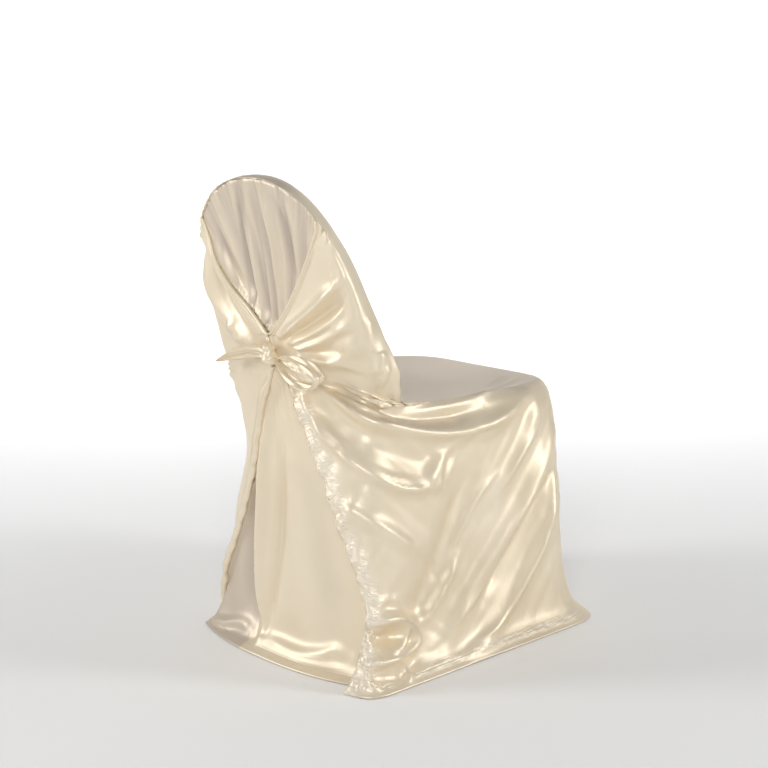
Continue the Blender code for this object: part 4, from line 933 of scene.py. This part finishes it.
def panel_cloth(sizes):
    p = panel_base()
    normal = surface_normals(p)
    rows, columns = p.shape[:2]
    u = np.linspace(-1, 1, columns)[None, :]
    neck_row = PANEL_STEPS[0] + PANEL_STEPS[1]
    v = np.arange(rows)[:, None] / neck_row
    lift = np.zeros((rows, columns))
    for pleat in PLEATS:
        centre = pleat["top"] + (pleat["foot"] - pleat["top"]) * np.clip(v, 0, 1.3)
        reach = np.clip(0.35 + 2 * v, 0, 1) * np.clip((1.6 - v) / 0.8, 0, 1)
        lift = lift + 0.45 * pleat["height"] * reach * hump(u, centre, pleat["width"])
    lift = lift + sum(fold_height(p, normal, fold) for fold in PANEL_FOLDS + FINE_PANEL_FOLDS)
    # the fine gathers under the seam and under the knot
    flat = np.stack([u + 0 * v, v + 0 * u, 0 * u + 0 * v], -1)
    lift = lift + 0.65 * sizes.gather * crumpled(flat, (0.035, 0.8, 1.0), 1.0, 31) * hump(v, 0.0, 0.22)
    lift = lift + 0.6 * sizes.gather * crumpled(flat, (0.10, 1.5, 1.0), 1.0, 32, 2) * hump(v, 1.1, 0.4)
    lift = lift + crumpled(p, (0.060, 0.060, 0.160), sizes.crumple, 33, 2)
    lift = lift * np.clip((p[..., 2] - 0.002) / 0.010, 0.0, 1)
    p = p + normal * lift[..., None]
    # painted shade: a little darker all over, more on the upper panel and the slack cloth beside the deep
    # pleat, darker in hollows and lighter on raised pleats
    upper = eased(p[..., 2], 0.55, 0.62)
    slack = eased(p[..., 0], 0.052, 0.062) * (1 - eased(p[..., 2], 0.36, 0.40))
    hollow = np.clip(-lift / 0.005, -0.6, 1)
    turned = np.maximum(0.7 * slack, 0.06 + 0.50 * upper) + (0.15 + 0.35 * upper) * hollow
    # low down both edges run on under the flaps
    low = (1 - eased(p[..., 2], 0.12, 0.20)) * eased(p[..., 2], 0.004, 0.020)
    p[..., 0] += low * (0.015 * eased(u, 0.75, 1.0) - 0.014 * eased(-u, 0.80, 1.0))
    cover = cover_cloth(sizes)[0][STEPS[0]:]
    return tucked(tucked(p, cover[:, 0]), cover[:, -1]), np.clip(turned, 0, 1)


# the tie
KNOT = dict(centre=(-0.020, 0.3120, 0.565), depth=1.20, tilt=0.006, pressed=0.040)
# rings of the knot, the ball and the turn above it: height and radius
KNOT_RINGS = [
    (-0.0125, 0.0000), (-0.0108, 0.0075), (-0.0065, 0.0122), (0.0000, 0.0142), (0.0065, 0.0126),
    (0.0108, 0.0102), (0.0140, 0.0098), (0.0190, 0.0112), (0.0240, 0.0098), (0.0275, 0.0062),
    (0.0290, 0.0000),
]
# free end: centre, half width, half thickness, and turn about its length in degrees
TAIL = [
    dict(at=(-0.0070, 0.3095, 0.569), wide=0.0075, thick=0.0040, turn=0),
    dict(at=(0.010, 0.3085, 0.573), wide=0.0115, thick=0.0048, turn=4),
    dict(at=(0.042, 0.3055, 0.570), wide=0.0142, thick=0.0046, turn=8),
    dict(at=(0.070, 0.3030, 0.564), wide=0.0142, thick=0.0042, turn=10),
    dict(at=(0.098, 0.3010, 0.556), wide=0.0115, thick=0.0036, turn=6),
    dict(at=(0.124, 0.2995, 0.548), wide=0.0075, thick=0.0030, turn=0),
    dict(at=(0.146, 0.2985, 0.540), wide=0.0045, thick=0.0022, turn=-6),
    dict(at=(0.161, 0.2975, 0.535), wide=0.0018, thick=0.0012, turn=-8),
]
# loop of the bow: centre line, half width across the band, and how far the band leans
LOOP = [
    dict(at=(-0.0324, 0.3095, 0.5690), wide=0.0040, lean=0),
    dict(at=(-0.056, 0.3095, 0.5715), wide=0.0080, lean=20),
    dict(at=(-0.092, 0.3090, 0.5700), wide=0.0105, lean=28),
    dict(at=(-0.126, 0.3070, 0.5600), wide=0.0110, lean=25),
    dict(at=(-0.147, 0.3060, 0.5460), wide=0.0105, lean=10),
    dict(at=(-0.136, 0.3060, 0.5290), wide=0.0105, lean=-10),
    dict(at=(-0.106, 0.3065, 0.5230), wide=0.0105, lean=-25),
    dict(at=(-0.066, 0.3080, 0.5360), wide=0.0080, lean=-20),
    dict(at=(-0.0324, 0.3095, 0.5605), wide=0.0040, lean=0),
]
# upper and lower edge of the cloth inside the loop
INNER_FOLD = dict(
    top=[(-0.045, 0.3060, 0.567), (-0.085, 0.3060, 0.562), (-0.118, 0.3050, 0.553), (-0.139, 0.3040, 0.545)],
    low=[(-0.045, 0.3060, 0.561), (-0.078, 0.3050, 0.546), (-0.108, 0.3040, 0.532), (-0.133, 0.3030, 0.535)],
)


def knot_rings(segments=56, levels=60):
    """The ball of the knot and the turn above it, with the wrapped creases that run round it."""
    height = np.array([h for h, r in KNOT_RINGS])
    radius = np.array([r for h, r in KNOT_RINGS])
    t = np.linspace(0, 1, levels)
    share = np.linspace(0, 1, len(height))
    h, r = np.interp(t, share, height), np.interp(t, share, radius)
    r = np.convolve(np.pad(r, 2, mode="edge"), [0.1, 0.2, 0.4, 0.2, 0.1], mode="valid")
    turn = np.linspace(0, 2 * np.pi, segments, endpoint=False)
    rings = []
    for i in range(1, levels - 1):
        crease = 1 + 0.035 * np.sin(2 * np.pi * (h[i] / 0.0105 + 0.55 * np.sin(turn + 0.6)))
        crease = crease + 0.04 * np.sin(2 * turn + h[i] * 180)
        size = max(r[i], 0.0012) * crease
        x = size * np.cos(turn) + KNOT["tilt"] * h[i] / 0.03
        ring = np.stack([x, KNOT["depth"] * size * np.sin(turn), 0 * turn + h[i]], -1)
        rings.append(ring + np.array(KNOT["centre"]))
    return np.array(rings)


def squared(along):
    """The unit direction of a path, and the one nearest to +Y that stands square to it."""
    d = along / np.linalg.norm(along)
    out = np.array([0.0, 1.0, 0.0])
    out = out - d * out.dot(d)
    return d, out / np.linalg.norm(out)


def tail_rings(segments=48, steps=110):
    """The free end: a folded band, full in the middle, with long creases that run into the knot."""
    at = smooth_line([s["at"] for s in TAIL], steps)
    share = lengths(np.array([s["at"] for s in TAIL]))
    share = share / share[-1] * (steps - 1)
    along = np.gradient(at, axis=0)
    rings = []
    for i in range(steps):
        wide = np.interp(i, share, [s["wide"] for s in TAIL])
        thick = np.interp(i, share, [s["thick"] for s in TAIL])
        lean = math.radians(np.interp(i, share, [s["turn"] for s in TAIL]))
        d, out = squared(along[i])
        up = np.cross(out, d)
        out, up = out * math.cos(lean) + up * math.sin(lean), up * math.cos(lean) - out * math.sin(lean)
        turn = np.linspace(0, 2 * np.pi, segments, endpoint=False)
        across = np.cos(turn)
        crease = 0.50 * np.cos(2.6 * np.pi * across + 0.6) + 0.25 * np.cos(5 * np.pi * across + i * 0.03)
        body = 1.5 * thick * np.sin(turn) * (1 + crease)
        rings.append(at[i] + across[:, None] * wide * up + body[:, None] * out)
    return np.array(rings)


def loop_grid(steps=150, across=19):
    """The loop of the bow: a band that leaves the knot, turns over at its tip and comes back."""
    at = smooth_line([s["at"] for s in LOOP], steps)
    share = lengths(np.array([s["at"] for s in LOOP]))
    share = share / share[-1] * (steps - 1)
    along = np.gradient(at, axis=0)
    grid = []
    for i in range(steps):
        wide = np.interp(i, share, [s["wide"] for s in LOOP])
        lean = math.radians(np.interp(i, share, [s["lean"] for s in LOOP]))
        d, out = squared(along[i])
        side = np.cross(d, out)
        lie = out * math.cos(lean) + side * math.sin(lean)
        face = np.cross(d, lie)
        t = np.linspace(-1, 1, across)
        ease = min(1.0, min(i, steps - 1 - i) / (0.2 * steps))
        crumple = ease * (0.0022 * np.sin(4.2 * t + i * 0.05) + 0.0009 * np.sin(8 * t - i * 0.13 + 1.0))
        grid.append(at[i] + (t * wide)[:, None] * lie + crumple[:, None] * face)
    return np.array(grid)


def inner_fold(steps=70, across=21):
    """The crumpled cloth that fills the inside of the loop."""
    top, low = smooth_line(INNER_FOLD["top"], steps), smooth_line(INNER_FOLD["low"], steps)
    t = np.linspace(0, 1, across)
    s = np.linspace(0, 1, steps)
    grid = top[:, None] * (1 - t)[None, :, None] + low[:, None] * t[None, :, None]
    swell = np.sin(np.pi * t)[None, :] * np.sin(np.pi * s)[:, None]
    wave = 0.35 * np.sin(9 * s[:, None] + 7 * t[None, :])
    wave = wave + 0.30 * np.sin(17 * s[:, None] - 9 * t[None, :] + 1)
    grid[..., 1] += swell * (0.0040 + 0.0040 * wave)
    return grid


# studio, in metres and watts
STAGE = dict(floor=16.0, wall=6.0, cove=3.0, turn=-43.0, sky=0.24)
LIGHTS = [
    dict(name="camera softbox", at=(-2.5, 2.6, 1.9), aim=(0.0, 0.1, 0.45), wide=1.4, tall=1.4, power=52.0),
    dict(name="left softbox", at=(-2.8, -1.9, 1.6), aim=(-0.1, 0.0, 0.40), wide=0.8, tall=1.8, power=42.0),
    dict(name="rear softbox", at=(2.0, 2.7, 1.7), aim=(0.0, 0.1, 0.45), wide=1.0, tall=1.6, power=44.0),
    dict(name="wall wash", at=(2.0, -1.8, 4.0), aim=(5.5, -5.0, 0.5), wide=4.0, tall=1.5, power=300.0),
]
# the photograph's view: lens and sensor in millimetres, tilt and turn in degrees
CAMERA = dict(at=(-2.172, 2.0255, 1.064), tilt=78.75, turn=227.22, lens=72.8, sensor=36.0)


def pick_far_edge(floor):
    """Enter edit mode with the floor's far edge picked."""
    bpy.ops.object.mode_set(mode="EDIT")
    bpy.ops.mesh.select_mode(type="VERT")
    bpy.ops.mesh.select_all(action="DESELECT")
    bpy.ops.object.mode_set(mode="OBJECT")
    for corner in floor.data.vertices:
        corner.select = corner.co.x > 0 and abs(corner.co.z) < 0.001
    bpy.ops.object.mode_set(mode="EDIT")


# operators
class COVER_OT_body(bpy.types.Operator):
    """Make the cover's one cloth: hood, wings, seat and skirt"""

    bl_idname = "cover.body"
    bl_label = "Cover body"

    def execute(self, context):
        sizes, colours = context.scene.cover_sizes, context.scene.cover_colours
        grid, across, along = cover_cloth(sizes)
        satin = satin_material("champagne satin", colours, colours.gloss, stitch=sizes.hem)
        body = cloth_piece("cover_cloth", grid, sizes.cloth, satin, "cover_satin", across, along)
        z = grid[..., 2]
        # painted shade: the seat's upward-facing top gets the darker colour, as it is turned from the lights
        mark_cloth(body.data, "turned", 0.7 * eased(surface_normals(grid)[..., 2], 0.80, 0.97) * (z > 0.42))
        # painted highlight, with the gathers' bump: along the near free edge's ruffled band and the hem's
        # stitched line
        ruffle_highlight = np.exp(-(across / 0.044) ** 4) * (1 - eased(z, 0.47, 0.52))
        seam = 0.6 * hump(along, sizes.hem, 0.008)
        mark_cloth(body.data, "drawn", np.maximum(ruffle_highlight, seam))
        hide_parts("cover_body")
        plain = satin_material("rolled satin edge", colours, colours.gloss - 0.06)
        first_hood = sum(STEPS[:12])
        for name, column, wave in (("near", 0, 0.15), ("far", -1, 0.10)):
            vee = grid[first_hood:, column]
            free = grid[sum(STEPS[:2]):first_hood + 1, column]
            for part, line, size in (("wing", vee, 1.0), ("skirt", free, 0.25 if name == "near" else 1.2)):
                path = smooth_line(line, max(60, int(lengths(line)[-1] / 0.004)))
                path = path + np.array([0.0, 0.0004, 0.0])
                tube = swept_tube(path, sizes.roll * size, wave=wave)
                new_piece(f"{part}_edge_{name}", *tube, plain, "cover_satin")
        return {"FINISHED"}


class COVER_OT_panel(bpy.types.Operator):
    """Make the gathered rear panel"""

    bl_idname = "cover.panel"
    bl_label = "Rear panel"

    def execute(self, context):
        sizes, colours = context.scene.cover_sizes, context.scene.cover_colours
        satin = satin_material("panel satin", colours, colours.gloss + 0.02, stitch=sizes.hem)
        grid, turned = panel_cloth(sizes)
        up = run(grid, 0)
        panel = cloth_piece("gathered_panel", grid, sizes.cloth, satin, "panel_satin", along=up[-1:] - up)
        # painted shade on the panel, by the turned share
        mark_cloth(panel.data, "turned", turned)
        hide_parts("rear_panel")
        return {"FINISHED"}


class COVER_OT_tie(bpy.types.Operator):
    """Make the knot, the free end and the loop of the bow"""

    bl_idname = "cover.tie"
    bl_label = "Tie"

    def execute(self, context):
        sizes, colours = context.scene.cover_sizes, context.scene.cover_colours
        satin = satin_material("tie satin", colours, colours.gloss - 0.02)
        knot = new_piece("knot", *closed_rings(knot_rings()), satin, "tie_satin")
        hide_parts("tie_knot")
        tail = new_piece("free_end", *closed_rings(tail_rings()), satin, "tie_satin")
        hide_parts("tie_tail")
        loop = cloth_piece("bow_loop", loop_grid(), sizes.cloth, satin, "tie_satin")
        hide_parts("tie_loop")
        inner = cloth_piece("bow_inner_fold", inner_fold(), sizes.cloth, satin, "tie_satin")
        return {"FINISHED"}


class COVER_OT_stage(bpy.types.Operator):
    """Make the pale floor, the soft lights and the camera"""

    bl_idname = "cover.stage"
    bl_label = "Studio"

    def execute(self, context):
        colours = context.scene.cover_colours
        bpy.ops.object.select_all(action="DESELECT")
        turn = (0.0, 0.0, math.radians(STAGE["turn"]))
        bpy.ops.mesh.primitive_plane_add(size=STAGE["floor"], rotation=turn)
        floor = bpy.context.object
        floor.name = "studio_floor"
        pick_far_edge(floor)
        bpy.ops.mesh.extrude_region_move(TRANSFORM_OT_translate={"value": (0.0, 0.0, STAGE["wall"])})
        bpy.ops.object.mode_set(mode="OBJECT")
        pick_far_edge(floor)
        bpy.ops.mesh.bevel(offset=STAGE["cove"], segments=16)
        bpy.ops.object.mode_set(mode="OBJECT")
        bpy.ops.object.transform_apply(rotation=True)
        floor.data.shade_smooth()
        paint = bpy.data.materials.new("pale floor")
        paint.use_nodes = True
        shader = paint.node_tree.nodes["Principled BSDF"]
        set_inputs(shader, {"Base Color": (*colours.floor, 1), "Roughness": 0.9, "Specular IOR Level": 0.1})
        floor.data.materials.append(paint)
        world = bpy.data.worlds.new("studio")
        world.use_nodes = True
        world.node_tree.nodes["Background"].inputs["Color"].default_value = (1, 1, 1, 1)
        world.node_tree.nodes["Background"].inputs["Strength"].default_value = STAGE["sky"]
        context.scene.world = world
        for light in LIGHTS:
            lamp = bpy.data.lights.new(light["name"], "AREA")
            lamp.shape = "RECTANGLE"
            lamp.size, lamp.size_y = light["wide"], light["tall"]
            lamp.energy = light["power"]
            shown = bpy.data.objects.new(light["name"], lamp)
            shown.location = light["at"]
            aim = Vector(light["aim"]) - Vector(light["at"])
            shown.rotation_euler = aim.to_track_quat("-Z", "Y").to_euler()
            context.scene.collection.objects.link(shown)
        lens = bpy.data.cameras.new("photo view")
        lens.lens, lens.sensor_width = CAMERA["lens"], CAMERA["sensor"]
        camera = bpy.data.objects.new("photo view", lens)
        camera.location = Vector(CAMERA["at"]) - Vector(MIDDLE)
        camera.rotation_euler = Euler((math.radians(CAMERA["tilt"]), 0.0, math.radians(CAMERA["turn"])))
        context.scene.collection.objects.link(camera)
        context.scene.camera = camera
        context.scene.view_settings.view_transform = "Standard"
        return {"FINISHED"}


class COVER_PT_panel(bpy.types.Panel):
    """Sizes, colours and pieces of the chair cover"""

    bl_idname = "COVER_PT_panel"
    bl_label = "Chair cover with sash"
    bl_space_type = "VIEW_3D"
    bl_region_type = "UI"
    bl_category = "Chair cover"

    def draw(self, context):
        column = self.layout.column()
        for group in (context.scene.cover_sizes, context.scene.cover_colours):
            for name in group.bl_rna.properties.keys():
                if name not in ("rna_type", "name"):
                    column.prop(group, name)
        for maker in MAKERS:
            column.operator(maker.bl_idname)


MAKERS = (COVER_OT_body, COVER_OT_panel, COVER_OT_tie, COVER_OT_stage)
CLASSES = (CoverSizes, CoverColours) + MAKERS + (COVER_PT_panel,)


def register():
    for kind in CLASSES:
        bpy.utils.register_class(kind)
    bpy.types.Scene.cover_sizes = bpy.props.PointerProperty(type=CoverSizes)
    bpy.types.Scene.cover_colours = bpy.props.PointerProperty(type=CoverColours)


def unregister():
    del bpy.types.Scene.cover_colours
    del bpy.types.Scene.cover_sizes
    for kind in reversed(CLASSES):
        bpy.utils.unregister_class(kind)


def main():
    register()
    bpy.ops.cover.body()
    bpy.ops.cover.panel()
    bpy.ops.cover.tie()
    bpy.ops.cover.stage()


if __name__ == "__main__":
    main()
